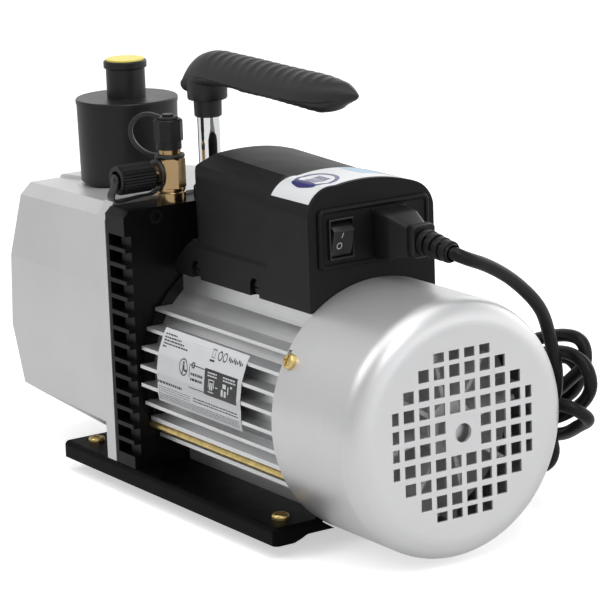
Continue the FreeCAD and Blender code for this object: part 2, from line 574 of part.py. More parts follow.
def terminal_box():
    # the roof falls gently from the pump end towards the fan end
    shell = Part.makeLoft([arch_wire(BOX_X0, BOX_Y0, BOX_Y1, PAD_TOP, 2.9, True),
                           arch_wire(BOX_X1, BOX_Y0, BOX_Y1, PAD_TOP, -2.2, True)], True, True)
    profile = side_profile(BOX_X0, WALL_X0, BOX_X1, PAD_TOP, 0)
    shell = shell.common(profile)
    upper = box(WALL_X0 - 1.0, BOX_X1, BOX_Y0, BOX_Y1, WAIST_Z, 200.0)
    upper = round_pump_end(upper, 8.0, WALL_X0)
    shell = shell.common(upper.fuse(
        box(BOX_X0 - 1.0, BOX_X1, BOX_Y0, BOX_Y1, PAD_TOP, WAIST_Z + 0.1)))
    skirt = prism_x([(HOUSING_Y0, PAD_TOP), (HOUSING_Y0, 138.5), (-38.9, 140.5), (38.0, 140.5),
                     (38.0, PAD_TOP)], BOX_X0, 70.0).common(profile)
    housing = arch(64.0, BOX_X1, HOUSING_Y0, BOX_Y1, PAD_TOP, 0.3, False)
    housing = try_fillet(housing, 1.2, lambda edge: abs(edge.BoundBox.XMax - BOX_X1) < 1e-3
                         and edge.BoundBox.XLength < 1e-3 and edge.BoundBox.ZMin > 123)
    shell = shell.fuse([skirt, housing]).cut(box_cavity())
    shell = shell.fuse(prism_x(PANEL_YZ, BOX_X1 - 1.0, PANEL_X))
    shell = shell.cut(box(80, 110, SWITCH_Y0 + 1.2, SWITCH_Y1 - 1.2,
                          SWITCH_Z0 + 1.2, SWITCH_Z1 - 1.2))
    shell = shell.cut(box(80, 110, *INLET_BOX))
    for x in BOX_SCREW_XS:
        for side in (-1, 1):
            # a notch in the skirt, closed by a recessed tab that the screw goes through
            notch = side_box(side, x - 4.2, x + 4.2, 30.0, 45.0, PAD_TOP - 1, 127.0)
            shell = shell.cut(notch.fuse(side_cyl(side, 4.2, 30.0, 45.0, x, 127.0)))
            shell = shell.fuse(side_box(side, x - 6.5, x + 6.5, 33.35, 36.5, PAD_TOP, 133.5))
            shell = shell.cut(side_cyl(side, 1.8, 20.0, 40.0, x, BOX_SCREW_Z))
    return shell.removeSplitter()


def box_screw(x, side):
    head = side_cyl(side, 3.4, 36.5, 38.6, x, BOX_SCREW_Z)
    head = head.cut(side_box(side, x - 2.4, x + 2.4, 37.7, 39.6,
                             BOX_SCREW_Z - 0.4, BOX_SCREW_Z + 0.4))
    return head.fuse(side_cyl(side, 1.8, 28.0, 36.6, x, BOX_SCREW_Z))


save("terminal_box", terminal_box())
save("box_screws", *[box_screw(x, side) for x in BOX_SCREW_XS for side in (-1, 1)])
save("capacitor", try_fillet(cyl_x(15.0, 4.0, 58.0, 14.0, 150.0), 2.0, square_to_shaft))

# ---- rocker switch ----------------------------------------------------------------------------
SWITCH_Y, SWITCH_Z = (SWITCH_Y0 + SWITCH_Y1) / 2, (SWITCH_Z0 + SWITCH_Z1) / 2
ROCKER_HALF_W, ROCKER_END_R = 5.6, 8.35
PIVOT_X = PANEL_X - 2.4


def switch_body():
    body = box(PANEL_X, PANEL_X + 1.8, SWITCH_Y0, SWITCH_Y1, SWITCH_Z0, SWITCH_Z1)
    body = try_fillet(body, 0.8, lambda edge: edge.BoundBox.XMin > PANEL_X + 1.7)
    body = body.fuse(box(84.0, PANEL_X + 0.1, SWITCH_Y0 + 1.25, SWITCH_Y1 - 1.25,
                         SWITCH_Z0 + 1.25, SWITCH_Z1 - 1.25))
    body = body.cut(box(93.0, PANEL_X + 3, SWITCH_Y - 5.75, SWITCH_Y + 5.75,
                        SWITCH_Z - 8.6, SWITCH_Z + 8.6))
    body = body.cut(cyl_y(1.25, SWITCH_Y - 6.25, SWITCH_Y + 6.25, PIVOT_X, SWITCH_Z))
    for i in (-1, 0, 1):               # three contact tabs
        z = SWITCH_Z + 6 * i
        body = body.fuse(box(77.5, 84.1, SWITCH_Y - 2.0, SWITCH_Y + 2.0, z - 0.4, z + 0.4))
    return body


def rocker_end(degrees):
    """Point on the circle about the pivot that lets the rocker turn inside its frame."""
    return (PIVOT_X + ROCKER_END_R * math.cos(math.radians(degrees)),
            SWITCH_Z + ROCKER_END_R * math.sin(math.radians(degrees)))


def switch_rocker():
    outline = [rocker_end(-62), rocker_end(-50), (PANEL_X + 3.4, SWITCH_Z + 3.0),
               (PANEL_X + 0.2, SWITCH_Z + 5.2), rocker_end(66), rocker_end(80),
               (PIVOT_X - 2.2, SWITCH_Z + 4.0), (PIVOT_X - 2.2, SWITCH_Z - 4.0),
               rocker_end(-76)]
    rocker = prism_y(outline, SWITCH_Y - ROCKER_HALF_W, SWITCH_Y + ROCKER_HALF_W)
    return rocker.fuse(cyl_y(1.2, SWITCH_Y - 6.15, SWITCH_Y + 6.15, PIVOT_X, SWITCH_Z))


save("switch_body", switch_body())
save("switch_rocker", switch_rocker())

# ---- power inlet, connector, cord, mains plug -------------------------------------------------
PINS = ((4.0, 153.5), (12.0, 153.5), (8.0, 161.0))         # (y, z)
CONNECTOR_Y, RELIEF_Z = 8.0, 156.6
CORD_SLOPE = 0.09                          # fall per unit of X where the cord leaves
CORD_DIRECTION = Vector(1, 0, -CORD_SLOPE)
PLUG_Y, PLUG_Z = 98.0, 15.0
# middle line of the cord from the connector to the mains plug, (x, y, z)
CORD_POINTS = [
    (150, 8, 155.25), (154.5, 8, 154.85), (159.2, 8.25, 154.35), (162.4, 12.4, 152.1),
    (162.2, 22.3, 147.9), (160.9, 31, 143.6), (157.14, 45.59, 134.77), (155.11, 53.43, 128.89),
    (152.97, 60.88, 122.56), (150.3, 67.73, 115.77), (146.96, 73.6, 108.4),
    (144.22, 78.14, 99.95), (143.64, 81, 90.41), (143.67, 82.99, 80.6), (141.85, 84.57, 70.91),
    (138.37, 85.46, 61.58), (133.75, 86.22, 52.74), (131.84, 87.06, 43.19),
    (134.51, 87.73, 33.64), (129.75, 87.47, 25.23), (120.55, 87.07, 21.54),
    (110.59, 86.85, 21.14), (101.25, 86.46, 24.38), (96.39, 85.49, 32.71), (99.72, 83.89, 41.75),
    (107.22, 82.26, 48.12), (115.87, 80.78, 52.92), (125.01, 79.42, 56.74),
    (134.45, 78.06, 59.78), (144.02, 76.61, 62.31), (153.75, 75.62, 64.4),
    (163.36, 77.45, 64.07), (166.03, 84.54, 58.67), (159.32, 89.5, 53.54),
    (150.55, 91.49, 49.15), (141.95, 93.92, 44.64), (133.03, 96.23, 40.76),
    (123.61, 97.8, 37.79), (113.97, 98.98, 35.38), (104.18, 99.96, 33.55),
    (94.25, 100.75, 32.64), (84.3, 101.39, 33.28), (74.94, 102, 36.62), (67.9, 102.6, 43.55),
    (66.26, 103.01, 53.2), (70.59, 103.06, 62.12), (77.42, 103, 69.43), (85.25, 102.98, 75.65),
    (93.85, 103, 80.75), (103.03, 103, 84.71), (112.55, 103, 87.79), (122.23, 103, 90.35),
    (132.12, 103, 91.74), (141.64, 102.71, 89.26), (144.12, 101.84, 80.28),
    (137.53, 101.26, 72.9), (129.78, 100.79, 66.59), (121.9, 100.07, 60.47),
    (113.52, 99.01, 55.1), (104.37, 97.78, 51.31), (94.57, 96.43, 50.91), (88.01, 94.92, 57.6),
    (91.15, 94.18, 66.71), (98.89, 93.91, 72.99), (107.76, 93.62, 77.59), (117.15, 93.48, 81.04),
    (126.79, 93.5, 83.74), (136.61, 93.5, 85.62), (146.58, 93.5, 85.37), (155.49, 93.5, 81.11),
    (158.78, 93.5, 72.08), (153.89, 93.49, 63.54), (145.93, 93.62, 57.51), (137.2, 94.21, 52.66),
    (128.12, 95.19, 48.58), (118.75, 96.51, 45.33), (109.16, 98.11, 42.95), (99.4, 99.9, 41.76),
    (89.62, 101.77, 42.54), (81.07, 104.04, 46.91), (78.33, 106.92, 55.73),
    (83.35, 109.1, 63.86), (91.94, 110.28, 68.78), (101.34, 110.91, 72.15),
    (110.97, 111.02, 74.84), (120.91, 111, 75.55), (127.81, 111, 69.26), (124.14, 110.99, 60.44),
    (116.36, 110.97, 54.18), (107.64, 111.13, 49.27), (98.71, 111.39, 44.78),
    (90.86, 111.28, 38.63), (85.04, 110.14, 30.6), (80.13, 107.21, 22.42),
    (73.14, 102.75, 17.02), (63.99, 99.26, 15.29), (56, 98, 15), (50, 98, 15), (44.1, 98, 15)]


def power_inlet():
    inlet = box(82.0, PANEL_X + 0.8, *INLET_BOX)
    inlet = inlet.cut(box(86.0, PANEL_X + 2, -0.5, 16.5, 147.0, 166.8))
    for y, z in PINS:
        inlet = inlet.fuse(box(78.0, 101.0, y - 1.0, y + 1.0, z - 1.9, z + 1.9))
    return inlet


def cord_connector():
    nose = box(87.0, PANEL_X + 1.0, -0.2, 16.2, 147.3, 166.5)
    for y, z in PINS:
        nose = nose.cut(box(86.0, 102.0, y - 1.2, y + 1.2, z - 2.1, z + 2.1))
    middle = rectangle(118.0, -1.3, 17.3, 145.4, 168.4)
    body = loft([rectangle(PANEL_X + 0.9, -2.3, 18.3, 144.2, 169.6), middle])
    body = body.fuse(loft([middle, rectangle(130.0, 2.2, 13.8, 149.4, 164.4)]))
    body = body.fuse(box(129.5, 135.5, 1.2, 14.8, 148.6, 165.0))
    # strain relief with four grooves
    relief = Part.makeCone(6.6, 5.3, 23.8, Vector(135.0, CONNECTOR_Y, RELIEF_Z), CORD_DIRECTION)
    for i in range(4):
        along = 3.5 + 5.0 * i
        centre = Vector(135.0 + along, CONNECTOR_Y, RELIEF_Z - CORD_SLOPE * along)
        groove = Part.makeCylinder(8.0, 1.8, centre, CORD_DIRECTION)
        relief = relief.cut(groove.cut(Part.makeCylinder(4.6, 1.8, centre, CORD_DIRECTION)))
    exit_r = CORD_R + 0.35
    cord_exit = Part.makeCylinder(exit_r, 20, Vector(149.0, CONNECTOR_Y, 155.34), CORD_DIRECTION)
    cord_exit = cord_exit.fuse(
        Part.makeCone(exit_r, 4.9, 6.0, Vector(154.2, CONNECTOR_Y, 154.87), CORD_DIRECTION))
    return nose.fuse([body, relief]).removeSplitter().cut(cord_exit)


def mains_plug():
    taper = Part.makeCone(14.0, 8.0, 18.0, Vector(26.0, PLUG_Y, PLUG_Z), X_AXIS)
    plug = cyl_x(7.0, 32.0, 50.0, PLUG_Y, PLUG_Z).fuse(taper)
    plug = plug.fuse(cyl_x(14.0, 18.0, 26.0, PLUG_Y, PLUG_Z))
    plug = plug.cut(cyl_x(CORD_R + 0.2, 43.9, 60.0, PLUG_Y, PLUG_Z))
    plug = plug.cut(box(10, 60, 80, 120, -1, 1.5))         # flat underside
    pins = [cyl_x(2.4, -1.0, 18.5, PLUG_Y + offset, PLUG_Z) for offset in (-9.5, 9.5)]
    return plug.fuse(pins).removeSplitter()


save("power_inlet", power_inlet())
save("cord_connector", cord_connector())
save("power_cord", long_sweep(CORD_POINTS, CORD_R - 0.02))
save("mains_plug", mains_plug())

# ---- bearings, seal, coupling, shaft, fan -----------------------------------------------------
FAN_X0, FAN_R, FAN_BLADES = 138.0, 54.0, 8


def bearing(x0):
    ring = cyl_x(BEARING_R, x0, x0 + BEARING_W)
    ring = ring.cut(cyl_x(MOTOR_SHAFT_R + RUN, x0 - 1, x0 + 12))
    groove = cyl_x(14.6, x0 + 10.2, x0 + 12).cut(cyl_x(10.4, x0 + 10, x0 + 13))
    return ring.cut(groove).cut(cyl_x(14.6, x0 - 1, x0 + 0.8).cut(cyl_x(10.4, x0 - 2, x0 + 2)))


def rotor_core():
    core = cyl_x(29.6, CORE_X0, CORE_X1)
    core = core.fuse([cyl_x(28.0, 1.5, CORE_X0 + 0.1), cyl_x(28.0, CORE_X1 - 0.1, 78.5)])
    return core.cut(cyl_x(MOTOR_SHAFT_R, 0, 80))


def cooling_fan():
    fan = cyl_x(14.0, FAN_X0, 164.0).fuse(cyl_x(FAN_R, FAN_X0, FAN_X0 + 2.0))
    for i in range(FAN_BLADES):
        blade = box(FAN_X0 + 1.0, 163.0, -1.1, 1.1, 10.0, FAN_R)
        blade = blade.cut(cyl_y(14.0, -3, 3, FAN_X0 + 27.0, FAN_R + 1.5))
        fan = fan.fuse(turned(blade, 360.0 / FAN_BLADES * i + 12.0))
    return fan.cut(cyl_x(MOTOR_SHAFT_R, 120, 171)).removeSplitter()


save("ball_bearings", bearing(PUMP_BEARING_X), bearing(FAN_BEARING_X))
save("shaft_seal", cyl_x(SEAL_R, -50.0, -44.0).cut(cyl_x(JOURNAL_R + RUN, -51, -43)))
save("motor_shaft", try_fillet(cyl_x(MOTOR_SHAFT_R, SHAFT_X0, SHAFT_X1), 1.0,
                               lambda edge: edge.BoundBox.XMin > SHAFT_X1 - 0.1))
save("rotor_core", rotor_core())
save("cooling_fan", cooling_fan())
save("shaft_coupling", cyl_x(13.5, -42.0, -26.0).cut(cyl_x(JOURNAL_R, -43, SHAFT_X0)).cut(
    cyl_x(MOTOR_SHAFT_R, -37, -25)))

# ---- pump stages ------------------------------------------------------------------------------
HIGH_X0, DIVIDER_X0, LOW_X0, END_X0 = -72.0, -78.0, -98.0, -106.0  # each ends where the last began
HIGH_STAGE, LOW_STAGE = (HIGH_X0, BRACKET_X0), (LOW_X0, DIVIDER_X0)
STAGE_R, STAGE_BORE_R = 38.0, 24.0
ROTOR_R, ECCENTRICITY = 20.95, 3.0
VANE_L, VANE_T = 10.0, 5.0                 # radial length and thickness
VANE_SLOT_Y = ROTOR_R - VANE_L - 5.0       # inner end of the vane slot
REED_X, REED_Z = -96.0, SHAFT_Z + 34.0     # rounded edge and underside of the reed


def stage_disc(x0, x1):
    return cyl_x(STAGE_R, x0, x1)


def stage_bore(x0, x1):
    return cyl_x(STAGE_BORE_R, x0 - 1, x1 + 1, 0, SHAFT_Z - ECCENTRICITY)


def bolted(shape, x0=-110, x1=-70):
    for y, z in STAGE_BOLTS:
        shape = shape.cut(cyl_x(STAGE_BOLT_R, x0, x1, y, z))
    return shape


def low_stage_stator():
    stator = stage_disc(*LOW_STAGE).cut(stage_bore(*LOW_STAGE))
    stator = stator.cut(box(-100, -76, -20, 20, REED_Z, SHAFT_Z + 40))
    for y in (9.0, -9.0):              # two upright holes under the reed
        stator = stator.cut(cyl_z(2.0, SHAFT_Z + 12, SHAFT_Z + 40, -86.0, y))
    return bolted(stator)


def stage_divider():
    divider = stage_disc(DIVIDER_X0, HIGH_X0)
    divider = divider.cut(cyl_x(JOURNAL_R + RUN, DIVIDER_X0 - 1, HIGH_X0 + 1))
    return bolted(divider.cut(cyl_x(2.5, DIVIDER_X0 - 1, HIGH_X0 + 1, 15.0, SHAFT_Z + 10.0)))


def exhaust_reed():
    reed = box(REED_X, -82.0, -13.0, 13.0, REED_Z, REED_Z + 0.5)
    reed = reed.fuse(cyl_y(0.25, -13.0, 13.0, REED_X, REED_Z + 0.25))
    return reed.cut(box(-97, -90.0, -5.0, 5.0, REED_Z - 1, REED_Z + 2))


def rotor(stage, journal_x0, journal_x1):
    x0, x1 = stage
    body = cyl_x(ROTOR_R, x0 + 0.05, x1 - 0.05).fuse(cyl_x(JOURNAL_R, journal_x0, journal_x1))
    half_slot = VANE_T / 2 + RUN
    for side in (-1, 1):
        body = body.cut(side_box(side, x0 - 0.5, x1 + 0.5, VANE_SLOT_Y, 30.0,
                                 SHAFT_Z - half_slot, SHAFT_Z + half_slot))
    return body


def vane(stage, side):
    x0, x1 = stage
    blank = side_box(side, x0 + 0.1, x1 - 0.1, ROTOR_R - VANE_L, ROTOR_R - 0.15,
                     SHAFT_Z - VANE_T / 2, SHAFT_Z + VANE_T / 2)
    return blank.common(cyl_x(ROTOR_R - 0.1, x0, x1))


def vane_spring(stage, side):
    helix = Part.makeHelix(1.3, 4.0, 1.7)                  # pitch, length, radius
    wire = Part.Circle(Vector(1.7, 0, 0), Y_AXIS, 0.3).toShape()
    spring = Part.Wire(helix.Edges).makePipeShell([Part.Wire([wire])], True, True)
    spring.rotate(Vector(0, 0, 0), X_AXIS, -90 * side)
    spring.translate(Vector(sum(stage) / 2, side * (VANE_SLOT_Y + 0.5), SHAFT_Z))
    return spring


save("high_stage_stator", bolted(stage_disc(*HIGH_STAGE).cut(stage_bore(*HIGH_STAGE)), -80, -40))
save("low_stage_stator", low_stage_stator())
save("stage_divider", stage_divider())
save("stage_end_plate", bolted(stage_disc(END_X0, LOW_X0).cut(
    cyl_x(JOURNAL_R + RUN, END_X0 + 2.5, LOW_X0 + 1))))
save("stage_bolts", *[cyl_x(STAGE_BOLT_R, END_X0 - 0.1, -39.0, y, z).fuse(
    prism_x(polygon(9.4, y, z), -110.0, END_X0)) for y, z in STAGE_BOLTS])
save("exhaust_reed", exhaust_reed())
save("high_stage_rotor", rotor(HIGH_STAGE, -74.9, -37.0))
save("low_stage_rotor", rotor(LOW_STAGE, -103.4, -75.0))
for stage_name, stage_span in (("high", HIGH_STAGE), ("low", LOW_STAGE)):
    save(stage_name + "_vane_front", vane(stage_span, -1))
    save(stage_name + "_vane_back", vane(stage_span, 1))
save("vane_springs", *[vane_spring(stage, side)
                       for stage in (HIGH_STAGE, LOW_STAGE) for side in (-1, 1)])

# ---- inlet fitting with its caps and straps ---------------------------------------------------
TOP_CAP_Z0, TOP_CAP_Z1 = BRACKET_TOP + 28.3, BRACKET_TOP + 44.5
SIDE_CAP_END, SIDE_CAP_MOUTH = INLET_Y - 33.6, INLET_Y - 12.4      # along Y
KNURL_TEETH, KNURL_TIP_R, KNURL_ROOT_R = 30, 8.0, 7.45
STRAP_RING_R, STRAP_BORE_R, STRAP_CORD_R, STRAP_HALF_T = 8.3, 4.95, 1.1, 0.95
TOP_STRAP_Z = BRACKET_TOP + 24.6
SIDE_STRAP_Y = INLET_Y - 8.35
# top strap: distance out from the inlet axis, height
TOP_STRAP_PATH = [
    (7.0, TOP_STRAP_Z + 0.1), (11.0, TOP_STRAP_Z + 0.9), (16.5, TOP_STRAP_Z + 4.5),
    (20.4, TOP_STRAP_Z + 11.0), (20.0, TOP_STRAP_Z + 18.0), (14.5, TOP_STRAP_Z + 22.2),
    (8.0, TOP_CAP_Z1 + 2.2), (1.9, TOP_CAP_Z1 + 1.6)]
TOP_STRAP_DX, TOP_STRAP_DY = -0.70, -0.714
# side strap: x from the inlet axis, y from the cap's closed end, z from the port axis
SIDE_STRAP_PATH = [
    (0, -0.9, -2.4), (-0.4, -1.8, -6.5), (-0.8, -1.0, -10.5), (-0.8, 3.5, -12.6),
    (-0.6, 10.0, -12.2), (-0.3, 18.0, -11.4), (-0.1, 22.6, -9.6),
    (0, SIDE_STRAP_Y - SIDE_CAP_END, -7.0)]


def upright(radius, z0, z1):
    return cyl_z(radius, z0, z1, INLET_X, INLET_Y)


def level(radius, y0, y1):
    return cyl_y(radius, y0, y1, INLET_X, SIDE_PORT_Z)


def inlet_fitting():
    low = BRACKET_TOP
    groove = Part.makeTorus(8.2, 0.7, Vector(INLET_X, INLET_Y, low + 5.6), Z_AXIS)
    fitting = upright(8.0, low, low + 7.5).cut(groove)
    hexagon = prism_z(polygon(14.5, INLET_X, INLET_Y), low + 7.5, low + 23.5)
    chamfer = cone_z(8.6, 7.0, low + 22.4, low + 24.0, INLET_X, INLET_Y)
    chamfer = chamfer.fuse(upright(8.6, low, low + 22.4))
    fitting = fitting.fuse([
        hexagon.common(chamfer), upright(4.9, low + 23.4, low + 28.0),
        upright(4.4, low + 27.9, low + 39.0), upright(6.0, 145.0, low + 0.1),
        upright(6.1, low + 25.7, low + 28.1), level(6.1, INLET_Y - 12.2, INLET_Y - 9.5),
        level(4.9, INLET_Y - 12.0, INLET_Y - 7.0), level(4.6, INLET_Y - 24.0, INLET_Y - 11.9)])
    fitting = fitting.cut(upright(2.4, 144.0, low + 40.0))
    return fitting.cut(level(2.4, INLET_Y - 25.0, INLET_Y)).removeSplitter()


def top_cap():
    chamfer_z = TOP_CAP_Z1 - 1.3
    octagon = prism_z(polygon(14.6, INLET_X, INLET_Y, 8, 0.5), TOP_CAP_Z0 + 4.4, TOP_CAP_Z1)
    cap = octagon.common(cone_z(8.2, 6.9, chamfer_z, TOP_CAP_Z1, INLET_X, INLET_Y).fuse(
        upright(8.2, TOP_CAP_Z0, chamfer_z)))
    cap = cap.fuse(upright(6.8, TOP_CAP_Z0, TOP_CAP_Z0 + 4.5))
    cap = cap.cut(upright(4.45, TOP_CAP_Z0 - 1, BRACKET_TOP + 40.5))
    return cap.cut(upright(1.55, BRACKET_TOP + 40, TOP_CAP_Z1 + 1))


def top_cap_strap():
    ring_bore = upright(STRAP_BORE_R, TOP_STRAP_Z - 3, TOP_STRAP_Z + 3)
    strap = upright(STRAP_RING_R, TOP_STRAP_Z - STRAP_HALF_T, TOP_STRAP_Z + STRAP_HALF_T)
    path = [(INLET_X + TOP_STRAP_DX * out, INLET_Y + TOP_STRAP_DY * out, z)
            for out, z in TOP_STRAP_PATH]
    strap = strap.cut(ring_bore).fuse(round_sweep(spline_through(path), STRAP_CORD_R))
    return strap.cut(ring_bore).cut(upright(3.05, TOP_CAP_Z1, TOP_CAP_Z1 + 4))


def side_cap():
    star = []
    for i in range(KNURL_TEETH * 2):
        radius = KNURL_TIP_R if i % 2 else KNURL_ROOT_R
        angle = math.pi * i / KNURL_TEETH
        star.append((INLET_X + radius * math.cos(angle), SIDE_PORT_Z + radius * math.sin(angle)))
    cap = prism_y(star, SIDE_CAP_END + 1.2, SIDE_CAP_MOUTH - 1.0)
    cap = cap.fuse([level(7.4, SIDE_CAP_END, SIDE_CAP_END + 1.3),
                    level(7.4, SIDE_CAP_MOUTH - 1.1, SIDE_CAP_MOUTH)])
    cap = cap.cut(level(4.65, INLET_Y - 25.5, SIDE_CAP_MOUTH + 1))
    cap = cap.cut(level(5.2, SIDE_CAP_END - 1, SIDE_CAP_END + 3.0))
    return cap.cut(level(1.55, SIDE_CAP_END - 1, INLET_Y - 25.0))


def side_cap_button():
    button = level(3.0, SIDE_CAP_END + 0.2, SIDE_CAP_END + 2.9)
    button = button.fuse(level(1.5, SIDE_CAP_END + 2.8, INLET_Y - 26.5))
    return button.fuse(level(1.2, SIDE_CAP_END - 1.6, SIDE_CAP_END + 0.3))


def side_cap_strap():
    ring_bore = level(STRAP_BORE_R, SIDE_STRAP_Y - 3, SIDE_STRAP_Y + 3)
    strap = level(STRAP_RING_R, SIDE_STRAP_Y - STRAP_HALF_T, SIDE_STRAP_Y + STRAP_HALF_T)
    ear = level(3.4, SIDE_CAP_END - 1.5, SIDE_CAP_END - 0.3)
    ear = ear.cut(level(1.22, SIDE_CAP_END - 2, SIDE_CAP_END + 1))
    path = [(INLET_X + x, SIDE_CAP_END + y, SIDE_PORT_Z + z) for x, y, z in SIDE_STRAP_PATH]
    strap = strap.cut(ring_bore).fuse([ear, round_sweep(spline_through(path), STRAP_CORD_R)])
    # clear the fitting's side flange, its foot and its hexagon
    strap = strap.cut(ring_bore).cut([level(6.25, INLET_Y - 12.35, INLET_Y - 9.35),
                                      upright(8.2, BRACKET_TOP - 1, BRACKET_TOP + 7.8)])
    return strap.cut(box(INLET_X - 12, INLET_X + 12, INLET_Y - 7.4, INLET_Y + 6,
                         BRACKET_TOP - 5, BRACKET_TOP + 30))


save("inlet_fitting", inlet_fitting())
save("top_cap", top_cap())
save("top_cap_button", upright(3.0, TOP_CAP_Z1 + 0.05, TOP_CAP_Z1 + 2.6).fuse(
    upright(1.5, BRACKET_TOP + 41.5, TOP_CAP_Z1 + 0.1)))
save("top_cap_strap", top_cap_strap())
save("side_cap", side_cap())
save("side_cap_button", side_cap_button())
save("side_cap_strap", side_cap_strap())


# ---- exhaust filter and its dust plug ---------------------------------------------------------
def filter_cyl(radius, z0, z1):
    return cyl_z(radius, z0, z1, FILTER_X, FILTER_Y)


def exhaust_filter():
    seat, top = FILTER_SEAT, FILTER_TOP
    lid = try_fillet(filter_cyl(28.7, top - 2.7, top), 0.9, above(top - 0.1))
    lip = try_fillet(filter_cyl(12.1, top + 16.3, top + 20.6), 0.8, lambda edge: True)
    body = filter_cyl(25.7, seat + 0.02, seat + 2.4)
    body = body.fuse([cone_z(27.6, 28.3, seat + 2.2, top - 2.6, FILTER_X, FILTER_Y), lid,
                      filter_cyl(13.0, 141.0, seat + 0.1),
                      filter_cyl(10.9, top - 0.1, top + 16.4), lip])
    body = body.cut(filter_cyl(25.0, seat + 5.5, top - 3.0))
    body = body.cut(filter_cyl(9.6, top - 4, top + 22)).cut(filter_cyl(9.5, 140, seat + 6))
    groove = filter_cyl(17.0, seat - 0.5, seat + 1.05).cut(filter_cyl(13.0, seat - 1, seat + 2))
    return body.cut(groove).removeSplitter()


def dust_plug():
    plug = filter_cyl(10.6, FILTER_TOP + 20.65, FILTER_TOP + 21.7)
    plug = try_fillet(plug, 0.4, above(FILTER_TOP + 21.6))
    plug = plug.fuse(filter_cyl(9.5, FILTER_TOP + 9.0, FILTER_TOP + 20.7))
    return plug.cut(filter_cyl(8.0, FILTER_TOP + 8, FILTER_TOP + 19.5))


save("exhaust_filter", exhaust_filter())
save("filter_element", filter_cyl(24.5, FILTER_SEAT + 6.0, FILTER_TOP - 4.0).cut(
    filter_cyl(11.0, FILTER_SEAT + 5, FILTER_TOP)))
save("filter_o_ring", filter_cyl(16.4, FILTER_SEAT, FILTER_SEAT + 1.0).cut(
    filter_cyl(13.15, FILTER_SEAT - 1, FILTER_SEAT + 2)))
save("dust_plug", dust_plug())

# ---- handle -----------------------------------------------------------------------------------
POST_TOP = 218.0
# grip sections: x, centre height, height above it, depth below it, half width
GRIP_SECTIONS = [
    (-62.5, 214.5, 1.5, 1.5, 3.0), (-60.5, 215.5, 5.0, 4.0, 7.0), (-53.0, 219.0, 9.5, 6.5, 10.5),
    (-43.0, 223.0, 11.8, 7.0, 12.0), (-31.0, 226.0, 11.4, 8.0, 12.6),
    (-18.0, 226.2, 11.2, 9.0, 12.8), (20.0, 225.6, 11.2, 9.6, 12.8),
    (60.0, 225.2, 11.0, 9.6, 12.8), (76.0, 225.6, 10.2, 9.4, 12.4), (88.0, 226.6, 7.8, 7.8, 10.8),
    (97.0, 227.8, 4.8, 4.8, 7.6), (102.5, 228.8, 1.4, 1.4, 2.6)]


def handle_nut():
    chamfer_z = BRACKET_TOP + 5.2
    nut = prism_z(polygon(16.5, POST_X, POST_Y), BRACKET_TOP, BRACKET_TOP + 6.5)
    nut = nut.common(cone_z(9.6, 8.1, chamfer_z, BRACKET_TOP + 6.6, POST_X, POST_Y).fuse(
        cyl_z(9.6, BRACKET_TOP - 1, chamfer_z, POST_X, POST_Y)))
    return nut.cut(cyl_z(POST_R, 150, 170, POST_X, POST_Y))


def grip_section(x, centre_z, height, depth, half_w, count=20):
    """Rounded section with its own height above and depth below the centre."""
    points = []
    for i in range(count):
        angle = 2 * math.pi * i / count
        cosine, sine = math.cos(angle), math.sin(angle)
        y = math.copysign(abs(cosine) ** 0.75, cosine) * half_w
        z = math.copysign(abs(sine) ** 0.85, sine) * (height if sine > 0 else depth)
        points.append(Vector(x, POST_Y + y, centre_z + z))
    curve = Part.BSplineCurve()
    curve.interpolate(points, PeriodicFlag=True)
    return Part.Wire([curve.toShape()])


def handle_grip():
    grip = Part.makeLoft([grip_section(*row) for row in GRIP_SECTIONS], True, False)
    grip = grip.fuse([cyl_z(10.8, 209.0, 222.0, POST_X, POST_Y),
                      cone_z(7.2, 7.6, 200.2, 209.1, POST_X, POST_Y)])
    return grip.cut(cyl_z(POST_R, 199.0, POST_TOP, POST_X, POST_Y))


save("handle_post", cyl_z(POST_R, 138.0, POST_TOP, POST_X, POST_Y))
save("handle_nut", handle_nut())
save("handle_grip", handle_grip())
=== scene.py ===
"""Looks of a two-stage vane vacuum pump: finishes, moulded pieces, stickers, stage and camera.

The pump stands on z = 0 and lies along X. Its fan, switch and mains socket are at the +X end,
and its rating label is on the -Y side. Shapes are drawn in millimetres, with z measured from
a base line a little above the floor.
"""
import bmesh
import bpy
import math
import random
import numpy as np
from mathutils import Matrix, Vector
from mathutils.bvhtree import BVHTree


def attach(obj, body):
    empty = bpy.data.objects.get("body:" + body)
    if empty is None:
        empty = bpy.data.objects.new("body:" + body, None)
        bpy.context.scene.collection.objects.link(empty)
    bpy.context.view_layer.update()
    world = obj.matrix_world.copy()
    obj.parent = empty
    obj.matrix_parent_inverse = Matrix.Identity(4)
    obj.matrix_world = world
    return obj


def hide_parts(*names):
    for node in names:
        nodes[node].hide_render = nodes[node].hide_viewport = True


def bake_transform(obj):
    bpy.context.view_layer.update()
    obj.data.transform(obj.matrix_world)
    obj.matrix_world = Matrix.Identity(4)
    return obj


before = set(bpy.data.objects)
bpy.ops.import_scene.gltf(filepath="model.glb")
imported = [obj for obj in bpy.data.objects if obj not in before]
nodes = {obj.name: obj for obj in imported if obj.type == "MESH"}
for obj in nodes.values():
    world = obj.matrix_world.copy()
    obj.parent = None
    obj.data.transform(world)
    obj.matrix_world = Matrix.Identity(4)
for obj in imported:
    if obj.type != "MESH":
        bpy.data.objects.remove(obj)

random.seed(7)      # the shared generator; the label's words have their own
MM = 0.001          # metres in a millimetre
BASE_LINE = 1.5     # height of the drawing's base line above the floor, mm


# ---------------------------------------------------------------- shader helpers


def fresh_tree(owner):
    """Empty node tree of a material or world."""
    owner.use_nodes = True
    owner.node_tree.nodes.clear()
    return owner.node_tree


